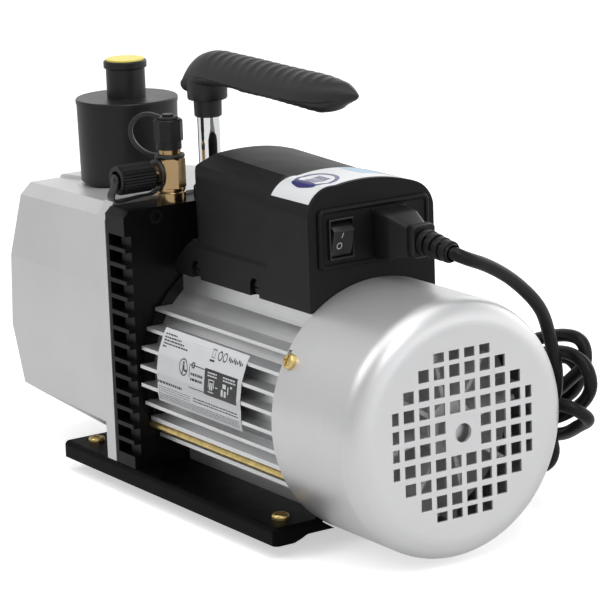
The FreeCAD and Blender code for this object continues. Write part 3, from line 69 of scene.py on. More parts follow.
def feed(node, inputs):
    """Set a node's inputs: an output socket is linked, anything else is a plain value."""
    for key, value in inputs.items():
        if isinstance(value, bpy.types.NodeSocket):
            node.id_data.links.new(value, node.inputs[key])
        else:
            node.inputs[key].default_value = value
    return node


def add_node(tree, kind, inputs=None, **settings):
    node = tree.nodes.new("ShaderNode" + kind)
    for key, value in settings.items():
        setattr(node, key, value)
    return feed(node, inputs or {})


def noise_field(tree, vector, scale, detail, roughness=0.5):
    node = add_node(tree, "TexNoise", {
        "Vector": vector, "Scale": scale, "Detail": detail, "Roughness": roughness})
    return node.outputs["Fac"]


def map_range(tree, value, to, source=(0.0, 1.0)):
    node = add_node(tree, "MapRange", {
        "Value": value, "From Min": source[0], "From Max": source[1],
        "To Min": to[0], "To Max": to[1]})
    return node.outputs["Result"]


def mix_colour(tree, share, colour, other):
    """Colour socket moved towards another colour by a share socket."""
    inputs = {0: share, 6: colour, 7: (*other, 1)}
    return add_node(tree, "Mix", inputs, data_type="RGBA").outputs[2]


def bump(tree, height, strength, depth, normal=None):
    """Relief of the given depth in metres, laid over an earlier normal if there is one."""
    node = add_node(tree, "Bump", {"Strength": strength, "Distance": depth, "Height": height})
    if normal is not None:
        feed(node, {"Normal": normal})
    return node.outputs["Normal"]


# ---------------------------------------------------------------- finishes
GRAIN_DEPTH = 0.00012       # relief depths, metres
DIMPLE_DEPTH = 0.0006
STREAK_DEPTH = 0.00008
STREAK_RELIEF = 0.15        # bump strength of streaks
STREAK_SHADE = 0.55         # streak brightness as a share of the base colour
DUST_COLOUR = (0.42, 0.41, 0.39)
DUST_SCALE = 220.0


def finish(name, colour, roughness, metal, drift, drift_scale, grain, grain_scale, rough_drift,
           specular=0.5, coat=0.0, coat_roughness=0.2, anisotropy=0.0, dust=0.0,
           dimple=0.0, dimple_scale=160.0, streaks=None, streak_amount=0.0):
    """Finish with drifting colour and roughness, grain, and optional streaks, dust and dimples.

    streaks is the noise scale along x, y and z; a low value draws streaks out on that axis.
    """
    material = bpy.data.materials.new(name)
    tree = fresh_tree(material)
    shader = add_node(tree, "BsdfPrincipled", {
        "Metallic": metal, "Specular IOR Level": specular, "Anisotropic": anisotropy,
        "Coat Weight": coat, "Coat Roughness": coat_roughness})
    add_node(tree, "OutputMaterial", {"Surface": shader.outputs["BSDF"]})
    place = add_node(tree, "TexCoord").outputs["Object"]

    clouds = noise_field(tree, place, drift_scale, detail=5.0)
    ramp = add_node(tree, "ValToRGB", {"Fac": clouds})
    dark, pale = ramp.color_ramp.elements
    dark.position = 0.3
    pale.position = 0.7
    dark.color = (*[c * (1 - drift) for c in colour], 1)
    pale.color = (*[min(1.0, c * (1 + drift)) for c in colour], 1)
    surface = ramp.outputs["Color"]

    if streaks:
        stretched = add_node(tree, "Mapping", {"Vector": place, "Scale": streaks})
        lines = noise_field(tree, stretched.outputs["Vector"], 1.0, detail=6.0, roughness=0.7)
        share = map_range(tree, lines, to=(0.0, streak_amount), source=(0.35, 0.65))
        surface = mix_colour(tree, share, surface, [c * STREAK_SHADE for c in colour])
    if dust:
        # dust settles in patches where the surface faces up
        normal = add_node(tree, "NewGeometry").outputs["Normal"]
        facing = add_node(tree, "SeparateXYZ", {"Vector": normal}).outputs["Z"]
        patches = noise_field(tree, place, DUST_SCALE, detail=8.0)
        settled = add_node(tree, "Math", {0: facing, 1: patches}, operation="MULTIPLY")
        share = map_range(tree, settled.outputs["Value"], to=(0.0, dust), source=(0.45, 0.75))
        surface = mix_colour(tree, share, surface, DUST_COLOUR)

    sheen = noise_field(tree, place, drift_scale * 2.3, detail=4.0)
    rough_range = (max(0.03, roughness - rough_drift), min(1.0, roughness + rough_drift))
    gloss = map_range(tree, sheen, to=rough_range)

    normal = bump(tree, noise_field(tree, place, grain_scale, detail=3.0), grain, GRAIN_DEPTH)
    if dimple:
        hollows = noise_field(tree, place, dimple_scale, detail=2.0)
        normal = bump(tree, hollows, dimple, DIMPLE_DEPTH, normal)
    if streaks:
        normal = bump(tree, lines, STREAK_RELIEF, STREAK_DEPTH, normal)
    feed(shader, {"Base Color": surface, "Roughness": gloss, "Normal": normal})
    return material


FINISHES = {
    "base_paint": ((0.0014, 0.0014, 0.0015), 0.40, 0, 0.25, 40, 0.35, 1500, 0.07,
                   dict(specular=0.05, dust=0.01)),
    "bracket_paint": ((0.0028, 0.0028, 0.0031), 0.38, 0, 0.25, 60, 0.4, 1200, 0.07,
                      dict(specular=0.15, dimple=0.12)),
    "frame_alu": ((0.80, 0.805, 0.81), 0.38, 0.9, 0.05, 25, 0.15, 1500, 0.07,
                  dict(streaks=(6, 500, 500), streak_amount=0.20)),
    "tank_paint": ((0.70, 0.70, 0.705), 0.40, 0.62, 0.03, 18, 0.55, 1300, 0.05,
                   dict(coat=0.05, coat_roughness=0.35, dimple=0.12, dimple_scale=110)),
    "cover_paint": ((0.74, 0.742, 0.75), 0.38, 0.72, 0.025, 12, 0.35, 1600, 0.04,
                    dict(streaks=(900, 9, 9), streak_amount=0.05)),
    "shield_cast": ((0.40, 0.41, 0.43), 0.5, 0.6, 0.08, 50, 0.5, 900, 0.08, {}),
    "box_plastic": ((0.0040, 0.0041, 0.0044), 0.46, 0, 0.12, 30, 0.7, 1700, 0.06,
                    dict(specular=0.20, dust=0.015)),
    "black_plastic": ((0.0080, 0.0081, 0.0085), 0.40, 0, 0.15, 45, 0.45, 1500, 0.07,
                      dict(specular=0.30)),
    "filter_plastic": ((0.0070, 0.0071, 0.0078), 0.36, 0, 0.15, 30, 0.25, 1500, 0.05,
                       dict(specular=0.34, dust=0.03)),
    "switch_black": ((0.009, 0.009, 0.0096), 0.30, 0, 0.1, 60, 0.12, 1800, 0.05,
                     dict(specular=0.42)),
    "grip_rubber": ((0.020, 0.020, 0.021), 0.42, 0, 0.12, 60, 0.7, 1800, 0.07,
                    dict(specular=0.34, dust=0.03)),
    "feet_rubber": ((0.012, 0.012, 0.012), 0.7, 0, 0.2, 80, 0.9, 900, 0.08,
                    dict(specular=0.3, dust=0.15)),
    "seal_rubber": ((0.015, 0.015, 0.015), 0.5, 0, 0.15, 80, 0.5, 900, 0.08, {}),
    "strap_rubber": ((0.012, 0.012, 0.013), 0.42, 0, 0.15, 90, 0.5, 1400, 0.07, {}),
    "cord_rubber": ((0.0060, 0.0060, 0.0063), 0.38, 0, 0.2, 90, 0.35, 1300, 0.06,
                    dict(specular=0.22)),
    "brass_machined": ((0.44, 0.305, 0.155), 0.20, 1.0, 0.07, 70, 0.12, 1600, 0.06,
                       dict(anisotropy=0.3)),
    "gold_zinc": ((0.72, 0.55, 0.22), 0.30, 1.0, 0.22, 160, 0.3, 900, 0.1, {}),
    "chrome_post": ((0.86, 0.87, 0.88), 0.05, 1.0, 0.015, 30, 0.03, 1200, 0.02, {}),
    "steel_plain": ((0.50, 0.50, 0.51), 0.34, 1.0, 0.06, 80, 0.3, 1400, 0.07,
                    dict(anisotropy=0.3)),
    "zinc_steel": ((0.60, 0.60, 0.61), 0.30, 1.0, 0.08, 100, 0.3, 1200, 0.07, {}),
    "iron_cast": ((0.20, 0.20, 0.21), 0.5, 0.8, 0.1, 60, 0.7, 700, 0.08, {}),
    "copper_coil": ((0.50, 0.19, 0.07), 0.32, 0.7, 0.15, 200, 0.8, 500, 0.08,
                    dict(streaks=(30, 900, 900), streak_amount=0.3)),
    "lamination": ((0.26, 0.26, 0.28), 0.45, 0.9, 0.08, 60, 0.2, 900, 0.08,
                   dict(streaks=(2500, 5, 5), streak_amount=0.5)),
    "vane_carbon": ((0.035, 0.032, 0.03), 0.5, 0, 0.15, 80, 0.5, 900, 0.08, {}),
    "yellow_plastic": ((0.90, 0.78, 0.17), 0.42, 0, 0.05, 40, 0.3, 1400, 0.05,
                       dict(specular=0.45)),
    "filter_media": ((0.66, 0.60, 0.45), 0.85, 0, 0.08, 80, 1.0, 700, 0.08, {}),
    "gasket_fibre": ((0.10, 0.10, 0.095), 0.8, 0, 0.15, 120, 1.0, 900, 0.08, {}),
    "copper_washer": ((0.70, 0.33, 0.17), 0.28, 1.0, 0.08, 120, 0.3, 900, 0.08, {}),
    "capacitor_can": ((0.70, 0.70, 0.68), 0.3, 0, 0.03, 50, 0.1, 900, 0.08, {}),
    "black_oxide": ((0.006, 0.006, 0.0062), 0.40, 0.0, 0.15, 90, 0.4, 1300, 0.07,
                    dict(specular=0.25)),
    # painted light: the fan's dark plastic blades are coloured pale grey to stand in for the light
    # seen through the grille holes
    "fan_plastic": ((0.72, 0.72, 0.72), 0.5, 0, 0.06, 40, 0.4, 1200, 0.06, {}),
    "label_white": ((0.80, 0.81, 0.83), 0.30, 0, 0.02, 30, 0.1, 1400, 0.04,
                    dict(coat=0.2, coat_roughness=0.15)),
    "label_black": ((0.02, 0.02, 0.022), 0.35, 0, 0.1, 60, 0.1, 1400, 0.08, {}),
    "label_grey": ((0.30, 0.30, 0.31), 0.35, 0, 0.1, 60, 0.1, 1400, 0.08, {}),
    "label_navy": ((0.025, 0.022, 0.16), 0.3, 0, 0.08, 60, 0.1, 1400, 0.08,
                   dict(coat=0.2, coat_roughness=0.15)),
    "label_sky": ((0.30, 0.52, 0.72), 0.3, 0, 0.06, 60, 0.1, 1400, 0.08,
                  dict(coat=0.2, coat_roughness=0.15)),
    "mark_white": ((0.72, 0.72, 0.70), 0.5, 0, 0.03, 80, 0.1, 900, 0.08, {}),
}


def sight_glass():
    """Amber glass with slightly uneven gloss."""
    material = bpy.data.materials.new("glass_sight")
    material.use_nodes = True
    tree = material.node_tree
    smears = add_node(tree, "TexNoise", {"Scale": 200.0}).outputs["Fac"]
    feed(tree.nodes["Principled BSDF"], {
        "Base Color": (0.85, 0.78, 0.5, 1), "Transmission Weight": 0.9, "IOR": 1.5,
        "Roughness": map_range(tree, smears, to=(0.02, 0.12))})
    return material


materials = {name: finish(name, *row[:-1], **row[-1]) for name, row in FINISHES.items()}
materials["glass_sight"] = sight_glass()

# ---------------------------------------------------------------- CAD pieces
NODE_FINISH = {
    "base_plate": "base_paint", "rubber_feet": "feet_rubber", "base_screws": "gold_zinc",
    "pump_bracket": "bracket_paint", "oil_tank": "tank_paint", "tank_gasket": "gasket_fibre",
    "tank_screws": "black_oxide", "sight_glass_bezel": "black_plastic",
    "sight_glass": "glass_sight", "drain_washer": "copper_washer", "drain_plug": "zinc_steel",
    "motor_frame": "frame_alu", "tie_rods": "gold_zinc", "stator_core": "lamination",
    "stator_windings": "copper_coil", "motor_end_shield": "shield_cast",
    "fan_cover": "cover_paint", "cover_screws": "gold_zinc", "terminal_box": "box_plastic",
    "box_screws": "black_oxide", "capacitor": "capacitor_can", "switch_body": "switch_black",
    "switch_rocker": "switch_black", "power_inlet": "switch_black",
    "cord_connector": "black_plastic", "power_cord": "cord_rubber",
    "mains_plug": "black_plastic", "ball_bearings": "steel_plain", "shaft_seal": "seal_rubber",
    "motor_shaft": "steel_plain", "rotor_core": "lamination", "cooling_fan": "fan_plastic",
    "shaft_coupling": "steel_plain", "high_stage_stator": "iron_cast",
    "low_stage_stator": "iron_cast", "stage_divider": "iron_cast",
    "stage_end_plate": "iron_cast", "stage_bolts": "zinc_steel", "exhaust_reed": "steel_plain",
    "high_stage_rotor": "iron_cast", "low_stage_rotor": "iron_cast",
    "high_vane_front": "vane_carbon", "high_vane_back": "vane_carbon",
    "low_vane_front": "vane_carbon", "low_vane_back": "vane_carbon",
    "vane_springs": "steel_plain", "inlet_fitting": "brass_machined",
    "top_cap": "black_plastic", "top_cap_button": "black_plastic",
    "top_cap_strap": "strap_rubber", "side_cap": "black_plastic",
    "side_cap_button": "black_plastic", "side_cap_strap": "strap_rubber",
    "exhaust_filter": "filter_plastic", "filter_element": "filter_media",
    "filter_o_ring": "seal_rubber", "dust_plug": "yellow_plastic",
    "handle_post": "chrome_post", "handle_nut": "black_oxide", "handle_grip": "grip_rubber",
}

# edge rounding: width mm, segments, least angle rounded in degrees
EDGE_ROUNDING = {
    "base_plate": (0.5, 2, 30), "pump_bracket": (0.7, 3, 30), "oil_tank": (1.6, 3, 14),
    "motor_frame": (0.3, 2, 35), "fan_cover": (0.12, 2, 35), "terminal_box": (0.6, 3, 28),
    "switch_body": (0.25, 2, 30), "switch_rocker": (0.3, 3, 25), "power_inlet": (0.3, 2, 30),
    "cord_connector": (0.9, 3, 25), "exhaust_filter": (0.4, 2, 30), "dust_plug": (0.3, 2, 30),
    "handle_nut": (0.25, 2, 20), "inlet_fitting": (0.25, 2, 20), "top_cap": (0.4, 2, 25),
    "side_cap": (0.15, 2, 30), "base_screws": (0.15, 2, 30), "cover_screws": (0.15, 2, 30),
    "tie_rods": (0.2, 2, 30), "box_screws": (0.15, 2, 30), "mains_plug": (0.8, 3, 30),
    "sight_glass_bezel": (0.3, 2, 30), "drain_plug": (0.4, 2, 30), "motor_shaft": (0.2, 2, 30),
    "cooling_fan": (0.3, 2, 30), "handle_post": (0.2, 2, 30),
}
FLAT_ANGLE = 0.6    # facets closer than this, in degrees, are merged before rounding


def round_edges(piece, width, segments, angle):
    flat = piece.modifiers.new("flat", "DECIMATE")
    flat.decimate_type = "DISSOLVE"
    flat.angle_limit = math.radians(FLAT_ANGLE)
    bevel = piece.modifiers.new("soft_edges", "BEVEL")
    bevel.width = width * MM
    bevel.segments = segments
    bevel.limit_method = "ANGLE"
    bevel.angle_limit = math.radians(angle)
    bevel.use_clamp_overlap = True
    bevel.harden_normals = False
    bevel.miter_outer = "MITER_ARC"


def dress_cad_pieces():
    for name, piece in nodes.items():
        piece.data.materials.clear()
        piece.data.materials.append(materials[NODE_FINISH[name]])
        for face in piece.data.polygons:
            face.use_smooth = True
        if name in EDGE_ROUNDING:
            round_edges(piece, *EDGE_ROUNDING[name])


# ---------------------------------------------------------------- shape tools


def to_metres(x, y, z):
    """World place of a drawing point."""
    return (x * MM, y * MM, (z + BASE_LINE) * MM)


class Shells:
    """Gathers surfaces in drawing millimetres and turns them into one piece."""

    def __init__(self):
        self.points = []
        self.faces = []

    def grid(self, rows, closed=True, cap_first=False, cap_last=False, joined=False):
        """Skin rows of points; closed rows are loops, joined links the last row to the first."""
        total, count = len(rows), len(rows[0])
        base = len(self.points)
        for row in rows:
            self.points.extend(to_metres(*point) for point in row)
        for i in range(total if joined else total - 1):
            here = base + i * count
            there = base + (i + 1) % total * count
            for j in range(count if closed else count - 1):
                k = (j + 1) % count
                self.faces.append((here + j, here + k, there + k, there + j))
        for wanted, i in ((cap_first, 0), (cap_last, total - 1)):
            if wanted:
                start = base + i * count
                hub = len(self.points)
                self.points.append(to_metres(*np.mean(np.array(rows[i]), axis=0)))
                for j in range(count):
                    self.faces.append((hub, start + j, start + (j + 1) % count))

    def solid(self, rows):
        """Closed rows with a cap at both ends."""
        self.grid(rows, cap_first=True, cap_last=True)

    def turned(self, profile, centre, axis, count):
        """Ring turned from a closed outline of (radius, height) about the z or y axis."""
        cx, cy, cz = centre
        rows = []
        for radius, height in profile:
            row = []
            for a, b in circle(radius, count):
                if axis == "z":
                    row.append((cx + a, cy + b, cz + height))
                else:
                    row.append((cx + b, cy + height, cz + a))
            rows.append(row)
        self.grid(rows, joined=True)

    def sweep(self, path, sections, guide, carried=False):
        """Capped sweep of one outline of (over, across) pairs per path point.

        "Over" follows the guide direction, or is carried on from point to point.
        """
        path = np.array(path, float)
        along = np.gradient(path, axis=0)
        along /= np.linalg.norm(along, axis=1)[:, None]
        over = np.array(guide, float)
        rows = []
        for point, ahead, section in zip(path, along, sections):
            if not carried:
                over = np.array(guide, float)
            over = over - ahead * np.dot(over, ahead)
            over /= np.linalg.norm(over)
            across = np.cross(ahead, over)
            rows.append([tuple(point + over * a + across * b) for a, b in section])
        self.solid(rows)

    def piece(self, name, material, sharp_angle=None):
        """Object made of the shells; edges above the angle in degrees stay sharp."""
        mesh = bpy.data.meshes.new(name)
        mesh.from_pydata(self.points, [], self.faces)
        mesh.update()
        work = bmesh.new()
        work.from_mesh(mesh)
        bmesh.ops.remove_doubles(work, verts=work.verts, dist=1e-7)
        bmesh.ops.recalc_face_normals(work, faces=work.faces)
        work.to_mesh(mesh)
        work.free()
        for face in mesh.polygons:
            face.use_smooth = True
        if sharp_angle:
            mesh.set_sharp_from_angle(angle=math.radians(sharp_angle))
        mesh.materials.append(materials[material])
        piece = bpy.data.objects.new(name, mesh)
        bpy.context.scene.collection.objects.link(piece)
        return piece


def take_over(node):
    """Hide a CAD node that a built piece now stands for."""
    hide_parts(node)


def circle(radius, count):
    angles = [2 * math.pi * j / count for j in range(count)]
    return [(radius * math.cos(angle), radius * math.sin(angle)) for angle in angles]


def rounded_outline(half_a, half_b, radius, steps=4):
    """Rounded rectangle about the origin, each corner in the given number of steps."""
    outline = []
    for quarter, (a, b) in enumerate(((1, 1), (-1, 1), (-1, -1), (1, -1))):
        for j in range(steps + 1):
            angle = math.pi / 2 * (quarter + j / steps)
            outline.append((a * (half_a - radius) + radius * math.cos(angle),
                            b * (half_b - radius) + radius * math.sin(angle)))
    return outline


def rounded_row(x, centre, half_y, half_z, radius, steps=5):
    """Rounded rectangle standing across X, its centre given as (y, z)."""
    outline = rounded_outline(half_y, half_z, radius, steps)
    return [(x, centre[0] + a, centre[1] + b) for a, b in outline]


def spline(points, step):
    """Natural cubic spline through the points, resampled at an even step."""
    points = np.array(points, float)
    gaps = np.linalg.norm(np.diff(points, axis=0), axis=1)
    travel = np.r_[0.0, np.cumsum(gaps)]
    count = len(points)
    span = np.diff(travel)
    system = np.zeros((count, count))
    slope_change = np.zeros((count, points.shape[1]))
    system[0, 0] = system[-1, -1] = 1.0
    for i in range(1, count - 1):
        system[i, i - 1:i + 2] = span[i - 1], 2 * (span[i - 1] + span[i]), span[i]
        slope_change[i] = 6 * ((points[i + 1] - points[i]) / span[i]
                               - (points[i] - points[i - 1]) / span[i - 1])
    bend = np.linalg.solve(system, slope_change)
    curve = []
    for s in np.linspace(0.0, travel[-1], max(8, int(travel[-1] / step))):
        i = min(count - 2, max(0, int(np.searchsorted(travel, s, side="right")) - 1))
        width = span[i]
        done, left = s - travel[i], travel[i + 1] - s
        curve.append((bend[i] * left ** 3 + bend[i + 1] * done ** 3) / (6 * width)
                     + (points[i] / width - bend[i] * width / 6) * left
                     + (points[i + 1] / width - bend[i + 1] * width / 6) * done)
    return np.array(curve)


def smooth_table(xs, ys, wanted):
    """Cubic through a table that never overshoots its values."""
    xs, ys = np.array(xs, float), np.array(ys, float)
    span = np.diff(xs)
    rise = np.diff(ys) / span
    slope = np.zeros(len(xs))
    slope[0], slope[-1] = rise[0], rise[-1]
    for i in range(1, len(xs) - 1):
        if rise[i - 1] * rise[i] > 0:
            before = 2 * span[i] + span[i - 1]
            after = span[i] + 2 * span[i - 1]
            slope[i] = (before + after) / (before / rise[i - 1] + after / rise[i])
    k = np.clip(np.searchsorted(xs, wanted, side="right") - 1, 0, len(xs) - 2)
    t = (wanted - xs[k]) / span[k]
    return ((2 * t ** 3 - 3 * t ** 2 + 1) * ys[k]
            + (t ** 3 - 2 * t ** 2 + t) * span[k] * slope[k]
            + (-2 * t ** 3 + 3 * t ** 2) * ys[k + 1]
            + (t ** 3 - t ** 2) * span[k] * slope[k + 1])


def fade(x, start, end):
    """0 before start, 1 after end, straight between."""
    return min(1.0, max(0.0, (x - start) / (end - start)))


def surface_tree(piece):
    return BVHTree.FromObject(piece, bpy.context.evaluated_depsgraph_get())


def cast(tree, start, heading, lift, missed):
    """Drawing point where a ray meets a surface, lifted off it; missed where it meets none."""
    hit, normal, _, _ = tree.ray_cast(Vector(to_metres(*start)), Vector(heading))
    if hit is None:
        return missed
    place = hit + normal * lift * MM
    return (place.x / MM, place.y / MM, place.z / MM - BASE_LINE)


# ---------------------------------------------------------------- handle grip
GRIP_Y = -7.5           # centre line of the grip
POST_X = -38.5          # the socket below the grip fits round the handle post
GRIP_HALF_STEPS = 26    # steps round the upper half, and round the lower
LIP = 1.9               # how far the lower half steps in under the upper
RIB_PITCH, RIB_HEIGHT = 8.0, 0.62       # soft ribs across the top
TOOTH_PITCH, TOOTH_DEPTH = 6.0, 1.2     # saw teeth below, for the fingers

# x, top z, seam z, bottom z, half width
GRIP_STATIONS = [
    (-60.5, 217.4, 216.8, 216.0, 0.8), (-59.3, 218.6, 216.6, 213.8, 3.4),
    (-57, 219.4, 216.6, 212.4, 5.4), (-54, 220.9, 217.0, 211.6, 7.0),
    (-50.2, 224.0, 218.3, 211.6, 8.5), (-46.9, 227.0, 220.0, 212.6, 9.6),
    (-41.6, 231.8, 222.2, 214.4, 10.9), (-34.6, 235.4, 223.7, 216.2, 12.0),
    (-26.5, 236.8, 224.2, 217.6, 12.6), (-18.7, 236.5, 223.9, 218.6, 12.8),
    (4.6, 236.1, 223.1, 219.3, 12.9), (24, 235.6, 222.5, 219.2, 12.9),
    (40, 235.2, 222.2, 218.8, 12.9), (54, 234.9, 222.1, 218.1, 12.8),
    (66, 234.8, 222.2, 217.3, 12.3), (77, 234.4, 222.6, 216.6, 10.9),
    (84, 234.0, 223.4, 218.0, 9.2), (91, 233.4, 224.8, 221.4, 6.7),
    (96.5, 231.6, 226.0, 223.6, 4.4), (100.5, 229.9, 226.9, 225.2, 2.3),
    (103.8, 228.1, 227.8, 227.4, 0.4),
]
# radius, z
POST_SOCKET = [
    (6.2, 200.2), (6.9, 200.2), (7.4, 200.7), (7.6, 208.6), (7.6, 209.4), (9.6, 209.4),
    (10.4, 209.7), (10.8, 210.4), (10.9, 216.0), (11.2, 222.5), (6.2, 222.5),
]


def grip_row(x, top, seam, bottom, half_width):
    """One cross-section: crowned upper half, a lip at the seam, slimmer lower half."""
    inset = LIP * fade(x, -34, -26) * (1 - fade(x, 88, 101))
    wave = (0.5 + 0.5 * math.cos(2 * math.pi * (x + 22) / RIB_PITCH)) ** 1.6
    rib = RIB_HEIGHT * wave * fade(x, -30, -20) * (1 - fade(x, 78, 86))
    saw = ((x + 10) / TOOTH_PITCH) % 1.0
    tooth = saw * TOOTH_DEPTH * fade(x, 0, 5) * (1 - fade(x, 72, 79))
    row = []
    for j in range(GRIP_HALF_STEPS + 1):
        angle = math.pi * j / GRIP_HALF_STEPS
        s, c = math.sin(angle), math.cos(angle)
        row.append((x, GRIP_Y + half_width * math.copysign(abs(c) ** 0.96, c),
                    seam + (top - seam) * s ** 0.95 + rib * s ** 3))
    lip_y, lip_z = half_width - 0.25 * inset, seam - 0.5 * (inset / LIP)
    lower_half = max(0.15, half_width - inset)
    row.append((x, GRIP_Y - lip_y, lip_z))
    for j in range(1, GRIP_HALF_STEPS):
        angle = math.pi * (1 + j / GRIP_HALF_STEPS)
        s, c = -math.sin(angle), math.cos(angle)
        row.append((x, GRIP_Y + lower_half * math.copysign(abs(c) ** 0.92, c),
                    seam - (seam - bottom) * s ** 0.92 - tooth * s ** 1.3))
    row.append((x, GRIP_Y + lip_y, lip_z))
    return row


def build_grip():
    # closer stations at both tips
    xs = np.r_[np.linspace(-60.5, -57, 14)[:-1], np.linspace(-57, 96, 200),
               np.linspace(96, 103.8, 22)[1:]]
    station_x, *outlines = zip(*GRIP_STATIONS)
    curves = [smooth_table(station_x, outline, xs) for outline in outlines]
    shells = Shells()
    shells.solid([grip_row(*station) for station in zip(xs, *curves)])
    shells.turned(POST_SOCKET, (POST_X, GRIP_Y, 0), "z", 56)
    grip = shells.piece("handle_grip_moulding", "grip_rubber", 38)
    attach(grip, "pump_frame")
    take_over("handle_grip")


# ---------------------------------------------------------------- power cord
CORD_RADIUS = 3.47
CORD_TAIL = (9.0, 0.0, -0.81)   # the cord starts this far back, inside the connector

# x, y, z along the cord, from the connector through its coils to the plug
CORD_PATH = [
    (150, 8, 155.25), (154.5, 8, 154.85), (159.2, 8.25, 154.35), (162.4, 12.4, 152.1),
    (162.2, 22.3, 147.9), (160.9, 31, 143.6), (157.14, 45.59, 134.77), (155.11, 53.43, 128.89),
    (152.97, 60.88, 122.56), (150.3, 67.73, 115.77), (146.96, 73.6, 108.4),
    (144.22, 78.14, 99.95), (143.64, 81, 90.41), (143.67, 82.99, 80.6), (141.85, 84.57, 70.91),
    (138.37, 85.46, 61.58), (133.75, 86.22, 52.74), (131.84, 87.06, 43.19),
    (134.51, 87.73, 33.64), (129.75, 87.47, 25.23), (120.55, 87.07, 21.54),
    (110.59, 86.85, 21.14), (101.25, 86.46, 24.38), (96.39, 85.49, 32.71), (99.72, 83.89, 41.75),
    (107.22, 82.26, 48.12), (115.87, 80.78, 52.92), (125.01, 79.42, 56.74),
    (134.45, 78.06, 59.78), (144.02, 76.61, 62.31), (153.75, 75.62, 64.4), (163.36, 77.45, 64.07),
    (166.03, 84.54, 58.67), (159.32, 89.5, 53.54), (150.55, 91.49, 49.15), (141.95, 93.92, 44.64),
    (133.03, 96.23, 40.76), (123.61, 97.8, 37.79), (113.97, 98.98, 35.38), (104.18, 99.96, 33.55),
    (94.25, 100.75, 32.64), (84.3, 101.39, 33.28), (74.94, 102, 36.62), (67.9, 102.6, 43.55),
    (66.26, 103.01, 53.2), (70.59, 103.06, 62.12), (77.42, 103, 69.43), (85.25, 102.98, 75.65),
    (93.85, 103, 80.75), (103.03, 103, 84.71), (112.55, 103, 87.79), (122.23, 103, 90.35),
    (132.12, 103, 91.74), (141.64, 102.71, 89.26), (144.12, 101.84, 80.28), (137.53, 101.26, 72.9),
    (129.78, 100.79, 66.59), (121.9, 100.07, 60.47), (113.52, 99.01, 55.1), (104.37, 97.78, 51.31),
    (94.57, 96.43, 50.91), (88.01, 94.92, 57.6), (91.15, 94.18, 66.71), (98.89, 93.91, 72.99),
    (107.76, 93.62, 77.59), (117.15, 93.48, 81.04), (126.79, 93.5, 83.74), (136.61, 93.5, 85.62),
    (146.58, 93.5, 85.37), (155.49, 93.5, 81.11), (158.78, 93.5, 72.08), (153.89, 93.49, 63.54),
    (145.93, 93.62, 57.51), (137.2, 94.21, 52.66), (128.12, 95.19, 48.58), (118.75, 96.51, 45.33),
    (109.16, 98.11, 42.95), (99.4, 99.9, 41.76), (89.62, 101.77, 42.54), (81.07, 104.04, 46.91),
    (78.33, 106.92, 55.73), (83.35, 109.1, 63.86), (91.94, 110.28, 68.78), (101.34, 110.91, 72.15),
    (110.97, 111.02, 74.84), (120.91, 111, 75.55), (127.81, 111, 69.26), (124.14, 110.99, 60.44),
    (116.36, 110.97, 54.18), (107.64, 111.13, 49.27), (98.71, 111.39, 44.78),
    (90.86, 111.28, 38.63), (85.04, 110.14, 30.6), (80.13, 107.21, 22.42), (73.14, 102.75, 17.02),
    (63.99, 99.26, 15.29), (56, 98, 15), (50, 98, 15), (44.1, 98, 15),
]


def build_cord():
    path = spline(CORD_PATH, step=1.7)
    path = [path[0] - np.array(CORD_TAIL), *path]
    shells = Shells()
    shells.sweep(path, [circle(CORD_RADIUS, 16)] * len(path), guide=(0, 0, 1), carried=True)
    cord = shells.piece("power_cord_sheath", "cord_rubber")
    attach(cord, "cord_set")
    take_over("power_cord")


# ---------------------------------------------------------------- cap tethers
INLET_X, INLET_Y = -40.0, -32.0         # upright axis of the inlet fitting
INLET_Z = 157.0                         # foot of the inlet fitting
TOP_COLLAR_Z = INLET_Z + 24.6
TOP_BUTTON_Z = INLET_Z + 44.5
SIDE_PORT_Z = 172.3                     # axis of the side port, which faces -Y
SIDE_COLLAR_Y = INLET_Y - 8.35
SIDE_BUTTON_Y = INLET_Y - 33.6
TOP_TETHER_WAY = (-0.70, -0.714)        # x, y direction in which the top tether loops out

# radius, height over the button seat
TOP_BUTTON_RING = [
    (3.15, 0.15), (3.3, 0.05), (5.1, 0.05), (5.5, 0.35), (5.4, 1.15), (4.9, 1.45), (3.4, 1.45),
    (3.15, 1.2),
]
SIDE_BUTTON_RING = [(1.35, -1.3), (3.2, -1.3), (3.55, -1.0), (3.55, -0.4), (3.2, -0.1),
                    (1.35, -0.1)]
# distance out from the inlet axis, height over the collar
TOP_TETHER_PATH = [
    (6.8, 0.1), (10.5, 0.7), (14.5, 2.6), (18.4, 6.2), (20.6, 11.0), (20.6, 15.4), (18.4, 19.2),
    (14.5, 21.8), (9.6, 22.3), (6.4, 21.4), (4.4, 20.8),
]
# x, y, z from the centre of the side button, ending at the collar
SIDE_TETHER_PATH = [
    (0, -0.75, -1.9), (-0.2, -1.7, -4.6), (-0.5, -3.0, -7.4), (-0.8, -2.6, -10.0),
    (-0.9, 0.3, -11.3), (-0.8, 5.0, -11.2), (-0.6, 11.0, -10.6), (-0.3, 17.5, -10.2),
    (-0.1, 21.6, -9.8), (0, 24.65, -8.0),
]


def collar_profile(outer):
    return [(5.0, -0.7), (5.2, -0.92), (outer - 0.25, -0.92), (outer, -0.6), (outer, 0.6),
            (outer - 0.25, 0.92), (5.2, 0.92), (5.0, 0.7)]


